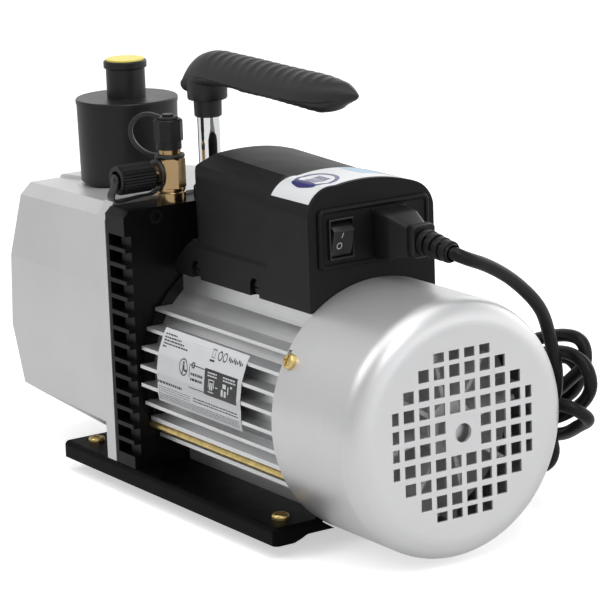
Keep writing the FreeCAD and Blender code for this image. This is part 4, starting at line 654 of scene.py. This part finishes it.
def build_top_tether():
    way_x, way_y = TOP_TETHER_WAY
    shells = Shells()
    shells.turned(collar_profile(8.25), (INLET_X, INLET_Y, TOP_COLLAR_Z), "z", 40)
    shells.turned(TOP_BUTTON_RING, (INLET_X, INLET_Y, TOP_BUTTON_Z), "z", 36)
    path = spline([(INLET_X + way_x * out, INLET_Y + way_y * out, TOP_COLLAR_Z + rise)
                   for out, rise in TOP_TETHER_PATH], step=0.8)
    section = rounded_outline(1.25, 1.15, 0.55)
    shells.sweep(path, [section] * len(path), guide=(-way_y, way_x, 0.0))
    tether = shells.piece("top_cap_tether", "strap_rubber", 50)
    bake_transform(tether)
    take_over("top_cap_strap")


def side_tether_section(share):
    """Flat strap, broad at the button and narrower towards the collar."""
    half_width = 3.3 - 1.5 * fade(share, 0.32, 0.57)
    return [(wide, -thick) for thick, wide in rounded_outline(0.62, half_width, 0.4)]


def build_side_tether():
    shells = Shells()
    shells.turned(collar_profile(8.35), (INLET_X, SIDE_COLLAR_Y, SIDE_PORT_Z), "y", 44)
    shells.turned(SIDE_BUTTON_RING, (INLET_X, SIDE_BUTTON_Y, SIDE_PORT_Z), "y", 30)
    path = spline([(INLET_X + x, SIDE_BUTTON_Y + y, SIDE_PORT_Z + z)
                   for x, y, z in SIDE_TETHER_PATH], step=0.7)
    last = len(path) - 1.0
    sections = [side_tether_section(i / last) for i in range(len(path))]
    shells.sweep(path, sections, guide=(1.0, 0.0, 0.0))
    tether = shells.piece("side_cap_tether", "strap_rubber", 50)
    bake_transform(tether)
    take_over("side_cap_strap")


# ---------------------------------------------------------------- feet
FOOT_X, FOOT_Y = 68.0, 45.0     # foot centres, either side of the middle

# radius, z: a ribbed pad around a bolt recess, standing on the floor
FOOT_PROFILE = [
    (4.6, 1.6), (4.6, -BASE_LINE), (7.6, -BASE_LINE), (8.3, -1.2), (8.6, -0.5), (8.7, 1.5),
    (8.45, 1.8), (8.45, 2.3), (8.8, 2.6), (8.95, 4.6), (8.7, 4.9), (8.7, 5.4), (9.05, 5.7),
    (9.3, 8.2), (9.05, 8.5), (9.05, 9.0), (9.45, 9.3), (9.75, 11.9), (9.5, 12.65), (4.6, 12.65),
]


def build_feet():
    shells = Shells()
    for x in (-FOOT_X, FOOT_X):
        for y in (-FOOT_Y, FOOT_Y):
            shells.turned(FOOT_PROFILE, (x, y, 0), "z", 40)
    feet = shells.piece("foot_pads", "feet_rubber", 40)
    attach(feet, "pump_frame")
    take_over("rubber_feet")


# ---------------------------------------------------------------- sticker tools
# A sticker surface is a function of (u, v, lift): shares across and down the sticker, and
# the height over what it is stuck to in mm. An area is (u0, v0, u1, v1).
WHOLE = (0.0, 0.0, 1.0, 1.0)


def area_rows(surface, columns, lines, area, lift):
    u0, v0, u1, v1 = area
    return [[surface(u0 + (u1 - u0) * i / columns, v0 + (v1 - v0) * j / lines, lift)
             for i in range(columns + 1)] for j in range(lines + 1)]


def patch(shells, surface, columns, lines, area, lift):
    shells.grid(area_rows(surface, columns, lines, area, lift), closed=False)


def rim(rows):
    """Points round the edge of a sheet."""
    return (rows[0] + [row[-1] for row in rows[1:]] + rows[-1][::-1][1:]
            + [row[0] for row in rows[::-1][1:-1]])


def backing(surface, columns, lines, lift, thick):
    """The sticker itself, a thin closed sheet."""
    face = area_rows(surface, columns, lines, WHOLE, lift)
    underside = area_rows(surface, columns, lines, WHOLE, lift - thick)
    shells = Shells()
    shells.grid(face, closed=False)
    shells.grid(underside, closed=False)
    shells.grid([rim(face), rim(underside)])
    return shells


def disc(shells, surface, centre, radii, lift, count, hole=None):
    """Disc in sticker shares, or a ring whose hole is a share of its size."""
    rows = []
    for size in ((hole, 1.0) if hole else (0.02, 0.5, 1.0)):
        angles = [2 * math.pi * j / count for j in range(count)]
        rows.append([surface(centre[0] + radii[0] * size * math.cos(angle),
                             centre[1] + radii[1] * size * math.sin(angle), lift)
                     for angle in angles])
    shells.grid(rows)


def ride_pump(prints):
    for name, shells, material in prints:
        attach(shells.piece(name, material), "pump_frame")


# ---------------------------------------------------------------- rating label
# outline of the motor's fin tips: height, distance out from the XZ plane
FIN_Z = [33, 43, 52, 62.4, 72.6, 82.4, 92.3, 102.2]
FIN_OUT = [52.2, 57.3, 60.5, 62.3, 62.4, 61.1, 57.4, 51.7]
LABEL_X0, LABEL_X1 = -11.8, 69.6
LABEL_TOP, LABEL_FOOT = 96.1, 57.3
LABEL_CLEARANCE = 0.25          # label surface over the fin tips
LABEL_SAG, LABEL_RIPPLE = 0.28, 0.10
INK_LIFT, SMALL_LIFT, REVERSED_LIFT = 0.20, 0.19, 0.24
WORD_LENGTHS = random.Random(11)

HEADING_ENDS = (0.165, 0.235, 0.27, 0.325, 0.075)
BIN_SIGN = [    # outline of a waste bin
    (0.600, 0.050, 0.648, 0.070), (0.606, 0.080, 0.612, 0.160), (0.636, 0.080, 0.642, 0.160),
    (0.606, 0.155, 0.642, 0.168),
]
BIN_BAR = (0.595, 0.190, 0.648, 0.215)
FIGURE = [(0.306, 0.372, 0.330, 0.450), (0.300, 0.450, 0.312, 0.495),
          (0.330, 0.430, 0.362, 0.462)]
PANEL_LINES = [(0.395, 0.330, 0.600, 0.342), (0.395, 0.640, 0.600, 0.652),
               (0.390, 0.342, 0.396, 0.640)]
DARK_PANEL = (0.575, 0.310, 0.955, 0.665)
REVERSED_MARKS = [      # an outlined box with two bars in it, then loose bars
    (0.625, 0.440, 0.690, 0.455), (0.625, 0.600, 0.690, 0.615), (0.625, 0.440, 0.632, 0.615),
    (0.683, 0.440, 0.690, 0.615), (0.640, 0.480, 0.655, 0.580), (0.662, 0.480, 0.676, 0.580),
    (0.705, 0.520, 0.735, 0.532), (0.790, 0.440, 0.830, 0.500), (0.775, 0.520, 0.800, 0.610),
    (0.812, 0.530, 0.836, 0.610), (0.850, 0.460, 0.862, 0.560), (0.880, 0.440, 0.900, 0.470),
]


def side_point(u, v, lift):
    """Label surface, draped over the fin tips and sagging a little between them."""
    x = LABEL_X0 + (LABEL_X1 - LABEL_X0) * u
    z = LABEL_TOP + (LABEL_FOOT - LABEL_TOP) * v
    y = -float(smooth_table(FIN_Z, FIN_OUT, np.array([z]))[0])
    sag = 0.0
    for low, high in zip(FIN_Z[2:-1], FIN_Z[3:]):
        if low <= z <= high:
            sag = LABEL_SAG * math.sin(math.pi * (z - low) / (high - low))
    ripple = LABEL_RIPPLE * math.sin(x * 0.35 + z * 0.21) * math.sin(math.pi * u)
    return (x, y - LABEL_CLEARANCE - lift + sag + ripple, z)


def words(shells, start, end, v, height, lift=INK_LIFT, gap=0.006, lengths=(0.010, 0.034)):
    """Line of print as short bars of random length."""
    u = start
    while u < end - 0.006:
        length = min(WORD_LENGTHS.uniform(*lengths), end - u)
        patch(shells, side_point, 2, 1, (u, v, u + length, v + height), lift)
        u += length + gap


def print_text(ink, small):
    """Heading at the upper left, a bold line and the small print at the foot."""
    for k, end in enumerate(HEADING_ENDS):
        words(ink, 0.030, end, 0.055 + 0.040 * k, 0.020)
    words(ink, 0.004, 0.30, 0.700, 0.034, gap=0.007, lengths=(0.012, 0.030))
    for k in range(2):
        words(ink, 0.435, 0.965, 0.775 + 0.038 * k, 0.016)
    for k in range(3):
        words(small, 0.015, 0.40, 0.775 + 0.030 * k, 0.013, SMALL_LIFT)
    for k in range(4):
        words(small, 0.015, 0.975, 0.8695 + 0.0265 * k, 0.013, SMALL_LIFT)


def print_signs(ink, small):
    """Waste bin, two round marks and a group of bars along the top, a round sign below."""
    for area in BIN_SIGN:
        patch(small, side_point, 2, 2, area, INK_LIFT)
    patch(ink, side_point, 2, 2, BIN_BAR, INK_LIFT)
    disc(ink, side_point, (0.700, 0.115), (0.026, 0.062), INK_LIFT, 24, hole=0.72)
    disc(ink, side_point, (0.758, 0.115), (0.024, 0.060), INK_LIFT, 24, hole=0.72)
    for k in range(9):
        area = (0.800 + 0.019 * k, 0.085 + 0.014 * (k % 3),
                0.812 + 0.019 * k, 0.135 + 0.010 * ((k * 2) % 3))
        patch(ink, side_point, 1, 1, area, INK_LIFT)
    disc(ink, side_point, (0.318, 0.405), (0.052, 0.118), INK_LIFT, 32, hole=0.86)
    disc(ink, side_point, (0.320, 0.345), (0.010, 0.022), INK_LIFT, 16)
    for area in FIGURE:
        patch(ink, side_point, 2, 3, area, INK_LIFT)


def print_panel(ink, reversed_print):
    """Framed panel, dark on its +X side."""
    for area in PANEL_LINES:
        patch(ink, side_point, 6, 2, area, INK_LIFT)
    disc(ink, side_point, (0.432, 0.336), (0.020, 0.042), 0.205, 20, hole=0.55)
    patch(ink, side_point, 12, 14, DARK_PANEL, INK_LIFT)
    for k in range(2):
        words(ink, 0.410, 0.550, 0.440 + 0.070 * k, 0.034, lengths=(0.012, 0.030))
        for start, end in ((0.610, 0.715), (0.790, 0.935)):
            words(reversed_print, start, end, 0.345 + 0.040 * k, 0.020, REVERSED_LIFT,
                  gap=0.005, lengths=(0.012, 0.028))
    for area in REVERSED_MARKS:
        patch(reversed_print, side_point, 2, 2, area, REVERSED_LIFT)


def build_rating_label():
    label = backing(side_point, 48, 44, lift=0.14, thick=0.12)
    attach(label.piece("rating_label", "label_white", 50), "pump_frame")
    ink, small, reversed_print = Shells(), Shells(), Shells()
    print_text(ink, small)
    print_signs(ink, small)
    print_panel(ink, reversed_print)
    ride_pump((("rating_label_print", ink, "label_black"),
               ("rating_label_small_print", small, "label_grey"),
               ("rating_label_reversed_print", reversed_print, "label_white")))


# ---------------------------------------------------------------- roof sticker
ROOF_X, ROOF_Y = 101.6, -38.2           # sticker corner at the fan end, on the -Y side
ROOF_LENGTH, ROOF_WIDTH = 33.5, 68.0    # along X, along Y
ROOF_SKEW = 1.2                         # the fan-end edge runs in by this much across Y
ROOF_DROP_FROM = 298.5                  # height from which points are dropped
ROOF_MISSED_Z = 180.0                   # height given to a point that misses the box


def build_roof_sticker():
    """Sticker on the terminal box, laid by dropping its points onto the arched roof."""
    box = surface_tree(nodes["terminal_box"])

    def roof_point(u, v, lift):
        """u runs along +Y over the arch, v from the fan end towards -X."""
        x = ROOF_X - ROOF_LENGTH * v - ROOF_SKEW * u * (1 - v)
        y = ROOF_Y + ROOF_WIDTH * u
        return cast(box, (x, y, ROOF_DROP_FROM), (0, 0, -1), lift, (x, y, ROOF_MISSED_Z))

    sticker = backing(roof_point, 60, 24, lift=0.22, thick=0.2)
    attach(sticker.piece("roof_sticker", "label_white", 50), "pump_frame")
    sign, sky, lines = Shells(), Shells(), Shells()
    disc(sign, roof_point, (0.245, 0.50), (0.165, 0.385), 0.27, 40, hole=0.80)
    patch(sign, roof_point, 8, 8, (0.180, 0.330, 0.320, 0.640), 0.27)
    disc(sign, roof_point, (0.130, 0.50), (0.045, 0.30), 0.275, 24)
    for k in range(4):
        area = (0.190, 0.385 + 0.065 * k, 0.312, 0.398 + 0.065 * k)
        patch(lines, roof_point, 6, 1, area, 0.31)
    patch(lines, roof_point, 1, 6, (0.250, 0.340, 0.256, 0.630), 0.31)
    patch(sky, roof_point, 24, 14, (0.600, 0.35, 0.975, 0.97), 0.27)
    ride_pump((("roof_sticker_sign", sign, "label_navy"),
               ("roof_sticker_patch", sky, "label_sky"),
               ("roof_sticker_lines", lines, "label_white")))


# ---------------------------------------------------------------- switch
PANEL_X = 104.5                         # face of the panel at the +X end
SWITCH_Y0, SWITCH_Y1 = -29.2, -14.0
SWITCH_Z0, SWITCH_Z1 = 147.3, 168.3
SWITCH_Y, SWITCH_Z = (SWITCH_Y0 + SWITCH_Y1) / 2, (SWITCH_Z0 + SWITCH_Z1) / 2
SWITCH_HALF_Y, SWITCH_HALF_Z = (SWITCH_Y1 - SWITCH_Y0) / 2, (SWITCH_Z1 - SWITCH_Z0) / 2
BODY_X = 84.0                           # -X end of the body behind the panel
ROCKER_HALF = SWITCH_HALF_Y - 1.45
PIVOT_X = PANEL_X - 2.4

# x from the panel face, inset along y, inset along z, corner radius
FRAME_LIP = [
    (-0.6, 0, 0, 1.0), (1.1, 0, 0, 1.0), (1.5, 0.15, 0.15, 0.95), (1.7, 0.5, 0.5, 0.8),
    (1.65, 0.95, 1.0, 0.5), (1.3, 1.15, 1.2, 0.35), (-7.0, 1.2, 1.25, 0.3),
]
FRAME_FLOOR = [(-7.0, 1.2, 1.25, 0.3), (-7.0, 5, 6, 0.3)]
SWITCH_BODY = [(BODY_X - PANEL_X, 1.3, 1.35, 0.5), (-7.1, 1.3, 1.35, 0.5)]

# x from the panel face, z from the switch centre: in at the foot, proud near the head
ROCKER_PROFILE = [
    (-0.9, -9.0), (0.15, -8.85), (0.45, -8.55), (1.7, -3.5), (3.4, 2.6), (3.9, 4.2), (3.75, 4.6),
    (-0.6, 7.9), (-1.2, 8.4), (-2.2, 8.95), (-2.7, 8.95), (-4.4, 6.0), (-4.4, -6.0),
    (-2.9, -8.6),
]
ROCKER_ENDS = [(0.0, 0.965), (0.12, 0.99), (0.4, 1.0)]  # distance in from the end, size


def switch_rows(table):
    return [rounded_row(PANEL_X + x, (SWITCH_Y, SWITCH_Z), SWITCH_HALF_Y - inset_y,
                        SWITCH_HALF_Z - inset_z, radius)
            for x, inset_y, inset_z, radius in table]


def build_switch_frame():
    """Thin frame, its well and body, and three contact tabs."""
    shells = Shells()
    shells.grid(switch_rows(FRAME_LIP))
    shells.grid(switch_rows(FRAME_FLOOR), cap_last=True)
    shells.grid(switch_rows(SWITCH_BODY), cap_first=True)
    for k in (-1, 0, 1):
        shells.solid([[(x, SWITCH_Y + y, SWITCH_Z + 6 * k + z)
                       for y, z in ((-2.0, -0.4), (2.0, -0.4), (2.0, 0.4), (-2.0, 0.4))]
                      for x in (BODY_X - 6.5, BODY_X + 0.2)])
    switch = shells.piece("switch_frame", "switch_black", 35)
    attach(switch, "pump_frame")
    take_over("switch_body")


def build_rocker():
    """Rocker that nearly fills the frame, slightly smaller at both ends."""
    stations = [(inset - ROCKER_HALF, size) for inset, size in ROCKER_ENDS]
    stations += [(ROCKER_HALF - inset, size) for inset, size in reversed(ROCKER_ENDS)]
    shells = Shells()
    shells.solid([[(PIVOT_X + (PANEL_X + x - PIVOT_X) * size, SWITCH_Y + y, SWITCH_Z + z * size)
                   for x, z in ROCKER_PROFILE] for y, size in stations])
    rocker = shells.piece("rocker_key", "switch_black", 30)
    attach(rocker, "rocker")
    take_over("switch_rocker")
    return rocker


def build_rocker_marks(rocker):
    """White stroke and ring, laid on the rocker by casting towards it from +X."""
    tree = surface_tree(rocker)

    def mark_point(y, z):
        return cast(tree, (200.0, y, z), (-1, 0, 0), 0.05, (106.0, y, z))

    shells = Shells()
    shells.grid([[mark_point(-21.95 - 0.75 * i / 6 + side, 161.10 - 2.55 * i / 6)
                  for i in range(7)] for side in (-0.19, 0.19)], closed=False)
    shells.grid([[mark_point(-23.55 + 1.62 * a, 154.40 + 1.75 * scale_z / scale_y * b)
                  for a, b in circle(scale_y, 32)]
                 for scale_y, scale_z in ((1.0, 1.0), (0.78, 0.80))])
    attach(shells.piece("rocker_marks", "mark_white"), "rocker")


# ---------------------------------------------------------------- panel moulding
PANEL_Y0, PANEL_Y1 = -33.6, 32.1
PANEL_Z0, PANEL_Z1 = 143.6, 172.6
# distance in from the panel outline, height over the panel face
PANEL_ROLL = [(-1.1, -0.3), (-0.9, 0.35), (-0.35, 0.85), (0.3, 1.05), (0.95, 0.85),
              (1.5, 0.35), (1.7, -0.3)]


def build_panel_moulding():
    """Rolled edge around the switch and the socket."""
    centre = ((PANEL_Y0 + PANEL_Y1) / 2, (PANEL_Z0 + PANEL_Z1) / 2)
    half_y, half_z = (PANEL_Y1 - PANEL_Y0) / 2, (PANEL_Z1 - PANEL_Z0) / 2
    shells = Shells()
    shells.grid([rounded_row(PANEL_X + rise, centre, half_y - inset, half_z - inset,
                             2.6 - inset * 0.5, steps=7) for inset, rise in PANEL_ROLL])
    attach(shells.piece("panel_moulding", "box_plastic", 60), "pump_frame")


# ---------------------------------------------------------------- cord connector
CONNECTOR_Y = 8
# x, centre z, half width, half height, corner radius
CONNECTOR_SHELLS = [
    [   # tapering body
        (105.3, 156.9, 9.6, 12.0, 2.6), (105.9, 156.9, 10.2, 12.6, 2.6),
        (106.8, 156.9, 10.35, 12.75, 2.4), (117.0, 156.9, 9.5, 11.7, 2.2),
        (118.4, 156.9, 9.1, 11.3, 2.4), (128.5, 156.8, 6.4, 8.1, 2.8),
        (130.2, 156.8, 6.0, 7.6, 2.8),
    ],
    [   # collar
        (129.2, 156.8, 6.2, 7.4, 1.8), (129.6, 156.8, 6.8, 8.1, 1.8),
        (130.3, 156.8, 7.0, 8.35, 1.8), (134.6, 156.7, 6.8, 8.15, 1.8),
        (135.3, 156.7, 6.3, 7.6, 1.8),
    ],
    # part inside the socket
    [(86.0, 156.9, 8.2, 9.7, 1.5), (105.6, 156.9, 8.2, 9.7, 1.5)],
]
RELIEF_START = np.array((135.0, 8.0, 156.6))
RELIEF_DROP = 0.09                              # fall per mm along X
RELIEF_AXIS = np.array((1.0, 0.0, -RELIEF_DROP))
RELIEF_CORE = [(-0.6, 5.0), (0.0, 5.1), (23.0, 4.45), (24.0, 4.3)]  # distance along, radius
RING_START, RING_PITCH, RING_LENGTH = 1.6, 5.6, 3.7
RING_TAPER = 0.38                               # radius lost from ring to ring
BRIDGE_SPREAD = 0.9                             # angle each bridge covers, radians


def relief_ring(along, radius):
    """Circle across the leaning axis of the strain relief."""
    x, y, z = RELIEF_START + RELIEF_AXIS * along
    return [(x + RELIEF_DROP * b, y + a, z + b) for a, b in circle(radius, 28)]


def relief_bridge(shells, k, start):
    """Sector joining ring k to the next, from a start angle."""
    end = start + BRIDGE_SPREAD
    arcs = ((4.4, np.linspace(start, end, 6)),
            (6.15 - RING_TAPER * k, np.linspace(end, start, 6)))
    near = RING_START + RING_PITCH * k + 3.2
    rows = []
    for along in (near, near + 2.9):
        x, y, z = RELIEF_START + RELIEF_AXIS * along
        rows.append([(x, y + radius * math.cos(angle), z + radius * math.sin(angle))
                     for radius, angles in arcs for angle in angles])
    shells.solid(rows)


def build_connector():
    """Connector body and collar, with a strain relief of rings joined by bridges."""
    shells = Shells()
    for table in CONNECTOR_SHELLS:
        shells.solid([rounded_row(x, (CONNECTOR_Y, z), half_y, half_z, radius, steps=6)
                      for x, z, half_y, half_z, radius in table])
    shells.grid([relief_ring(*station) for station in RELIEF_CORE], cap_first=True)
    for k in range(4):
        near = RING_START + RING_PITCH * k
        far = near + RING_LENGTH
        outer = 6.75 - RING_TAPER * k
        shells.grid([relief_ring(along, radius) for along, radius in (
            (near, 4.6), (near + 0.1, outer - 0.35), (near + 0.45, outer),
            (far - 0.45, outer - 0.05), (far - 0.1, outer - 0.4), (far, 4.6))])
    for k in range(3):
        start = 0.15 if k % 2 else 1.35     # bridges alternate round the relief
        for opposite in (0.0, math.pi):
            relief_bridge(shells, k, opposite + start)
    connector = shells.piece("connector_moulding", "black_plastic", 34)
    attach(connector, "cord_set")
    take_over("cord_connector")


# ---------------------------------------------------------------- stage and camera
# metres, degrees and watts from here on
CAMERA_PLACE = (1.30884, -0.84300, 0.47314)
CAMERA_AZIMUTH, CAMERA_ELEVATION, CAMERA_ROLL = 56.54, 13.31, -2.0
CAMERA_LENS = 179.153           # focal length in mm, on a sensor 36 mm wide

# name, place, target, width, height, power
LIGHTS = [
    ("overhead", (0.15, -0.10, 1.45), (0.02, 0, 0.1), 1.3, 1.0, 6.5),
    ("front_left", (-0.45, -1.55, 0.75), (0, 0, 0.1), 0.9, 1.1, 0.35),
    ("fan_side", (1.70, 0.35, 0.55), (0.1, 0, 0.08), 0.9, 1.0, 0.8),
    ("left_high", (-0.30, -0.95, 1.15), (0, 0, 0.12), 0.8, 0.6, 4.0),
    ("top_right", (1.15, -0.35, 1.45), (0.05, 0, 0.15), 0.7, 0.7, 6.0),
    ("back_fill", (-0.5, 1.5, 0.8), (0, 0, 0.1), 1.2, 0.9, 3),
]
# height share from straight down (0) to straight up (1), grey level
SKY_ENDS = [(0.0, 0.6), (1.0, 0.22)]
SKY_STOPS = [(0.50, 1.0), (0.66, 1.0), (0.82, 0.50)]
SKY_SIDE = (0.10, 0.45, 0.0)    # the light grows in this direction, about an even level
SKY_LEVEL = 0.90
SKY_STRENGTH = 1.05
FLOOR_REACH = 6

scene = bpy.context.scene


def add_camera():
    data = bpy.data.cameras.new("cam")
    camera = bpy.data.objects.new("cam", data)
    scene.collection.objects.link(camera)
    scene.camera = camera
    azimuth = math.radians(CAMERA_AZIMUTH)
    elevation = math.radians(CAMERA_ELEVATION)
    roll = math.radians(CAMERA_ROLL)
    back = Vector((math.sin(azimuth) * math.cos(elevation),
                   -math.cos(azimuth) * math.cos(elevation), math.sin(elevation)))
    right = (-back).cross(Vector((0, 0, 1))).normalized()
    up = right.cross(-back)
    rolled_right = math.cos(roll) * right + math.sin(roll) * up
    rolled_up = -math.sin(roll) * right + math.cos(roll) * up
    pose = Matrix((rolled_right, rolled_up, back)).transposed().to_4x4()
    pose.translation = Vector(CAMERA_PLACE)
    camera.matrix_world = pose
    data.sensor_width = 36.0
    data.lens = CAMERA_LENS
    data.clip_start = 0.05
    data.clip_end = 50


def add_light(name, place, target, width, height, power):
    data = bpy.data.lights.new(name, "AREA")
    data.shape = "RECTANGLE"
    data.size, data.size_y, data.energy = width, height, power
    lamp = bpy.data.objects.new(name, data)
    scene.collection.objects.link(lamp)
    lamp.location = place
    aim = Vector(target) - Vector(place)
    lamp.rotation_euler = aim.to_track_quat("-Z", "Y").to_euler()


def add_world():
    """White to the camera; a graded grey sky, brighter towards +Y, for everything else."""
    world = bpy.data.worlds.new("studio")
    scene.world = world
    tree = fresh_tree(world)
    backdrop = add_node(tree, "Background", {"Color": (1, 1, 1, 1), "Strength": 1.0})
    direction = add_node(tree, "TexCoord").outputs["Generated"]
    height = add_node(tree, "SeparateXYZ", {"Vector": direction}).outputs["Z"]
    share = map_range(tree, height, to=(0.0, 1.0), source=(-1.0, 1.0))
    ramp = add_node(tree, "ValToRGB", {"Fac": share})
    stops = ramp.color_ramp.elements
    for stop, (position, level) in zip(stops, SKY_ENDS):
        stop.position = position
        stop.color = (level, level, level, 1)
    for position, level in SKY_STOPS:
        stops.new(position).color = (level, level, level, 1)
    side = add_node(tree, "VectorMath", {0: direction, 1: SKY_SIDE}, operation="DOT_PRODUCT")
    level = add_node(tree, "Math", {0: side.outputs["Value"], 1: SKY_LEVEL}, operation="ADD")
    shade = add_node(tree, "VectorMath", {
        0: ramp.outputs["Color"], "Scale": level.outputs["Value"]}, operation="SCALE")
    sky = add_node(tree, "Background", {
        "Color": shade.outputs["Vector"], "Strength": SKY_STRENGTH})
    to_camera = add_node(tree, "LightPath").outputs["Is Camera Ray"]
    mix = add_node(tree, "MixShader", {
        0: to_camera, 1: sky.outputs[0], 2: backdrop.outputs[0]})
    add_node(tree, "OutputWorld", {"Surface": mix.outputs[0]})


def floor_material():
    """Pale glowing floor to the camera, duller in reflections, dark grey to bounced light."""
    material = bpy.data.materials.new("floor_pale")
    tree = fresh_tree(material)

    def diffuse(level):
        return add_node(tree, "BsdfDiffuse", {"Color": (level, level, level, 1)}).outputs[0]

    def glowing(level, glow):
        light = add_node(tree, "Emission", {"Strength": glow}).outputs[0]
        return add_node(tree, "AddShader", {0: diffuse(level), 1: light}).outputs[0]

    mix = add_node(tree, "MixShader")
    seen = glowing(level=0.92, glow=0.52)
    reflected = glowing(level=0.62, glow=0.25)
    rays = add_node(tree, "LightPath").outputs
    unseen = add_node(tree, "MixShader", {
        0: rays["Is Glossy Ray"], 1: diffuse(0.30), 2: reflected})
    feed(mix, {0: rays["Is Camera Ray"], 1: unseen.outputs[0], 2: seen})
    add_node(tree, "OutputMaterial", {"Surface": mix.outputs[0]})
    return material


def add_floor():
    mesh = bpy.data.meshes.new("floor")
    work = bmesh.new()
    for x, y in ((-1, -1), (1, -1), (1, 1), (-1, 1)):
        work.verts.new((x * FLOOR_REACH, y * FLOOR_REACH, 0))
    work.faces.new(work.verts)
    work.to_mesh(mesh)
    work.free()
    floor = bpy.data.objects.new("floor", mesh)
    scene.collection.objects.link(floor)
    mesh.materials.append(floor_material())


def span(low, high):
    return [list(low), list(high)]


# ---------------------------------------------------------------- build
dress_cad_pieces()
build_grip()
build_cord()
build_top_tether()
build_side_tether()
build_feet()
build_rating_label()
build_roof_sticker()
build_switch_frame()
rocker_key = build_rocker()
build_panel_moulding()
build_connector()
build_rocker_marks(rocker_key)

add_camera()
for light_row in LIGHTS:
    add_light(*light_row)
add_world()
add_floor()
scene.view_settings.view_transform = "Standard"
scene.view_settings.exposure = 0.0
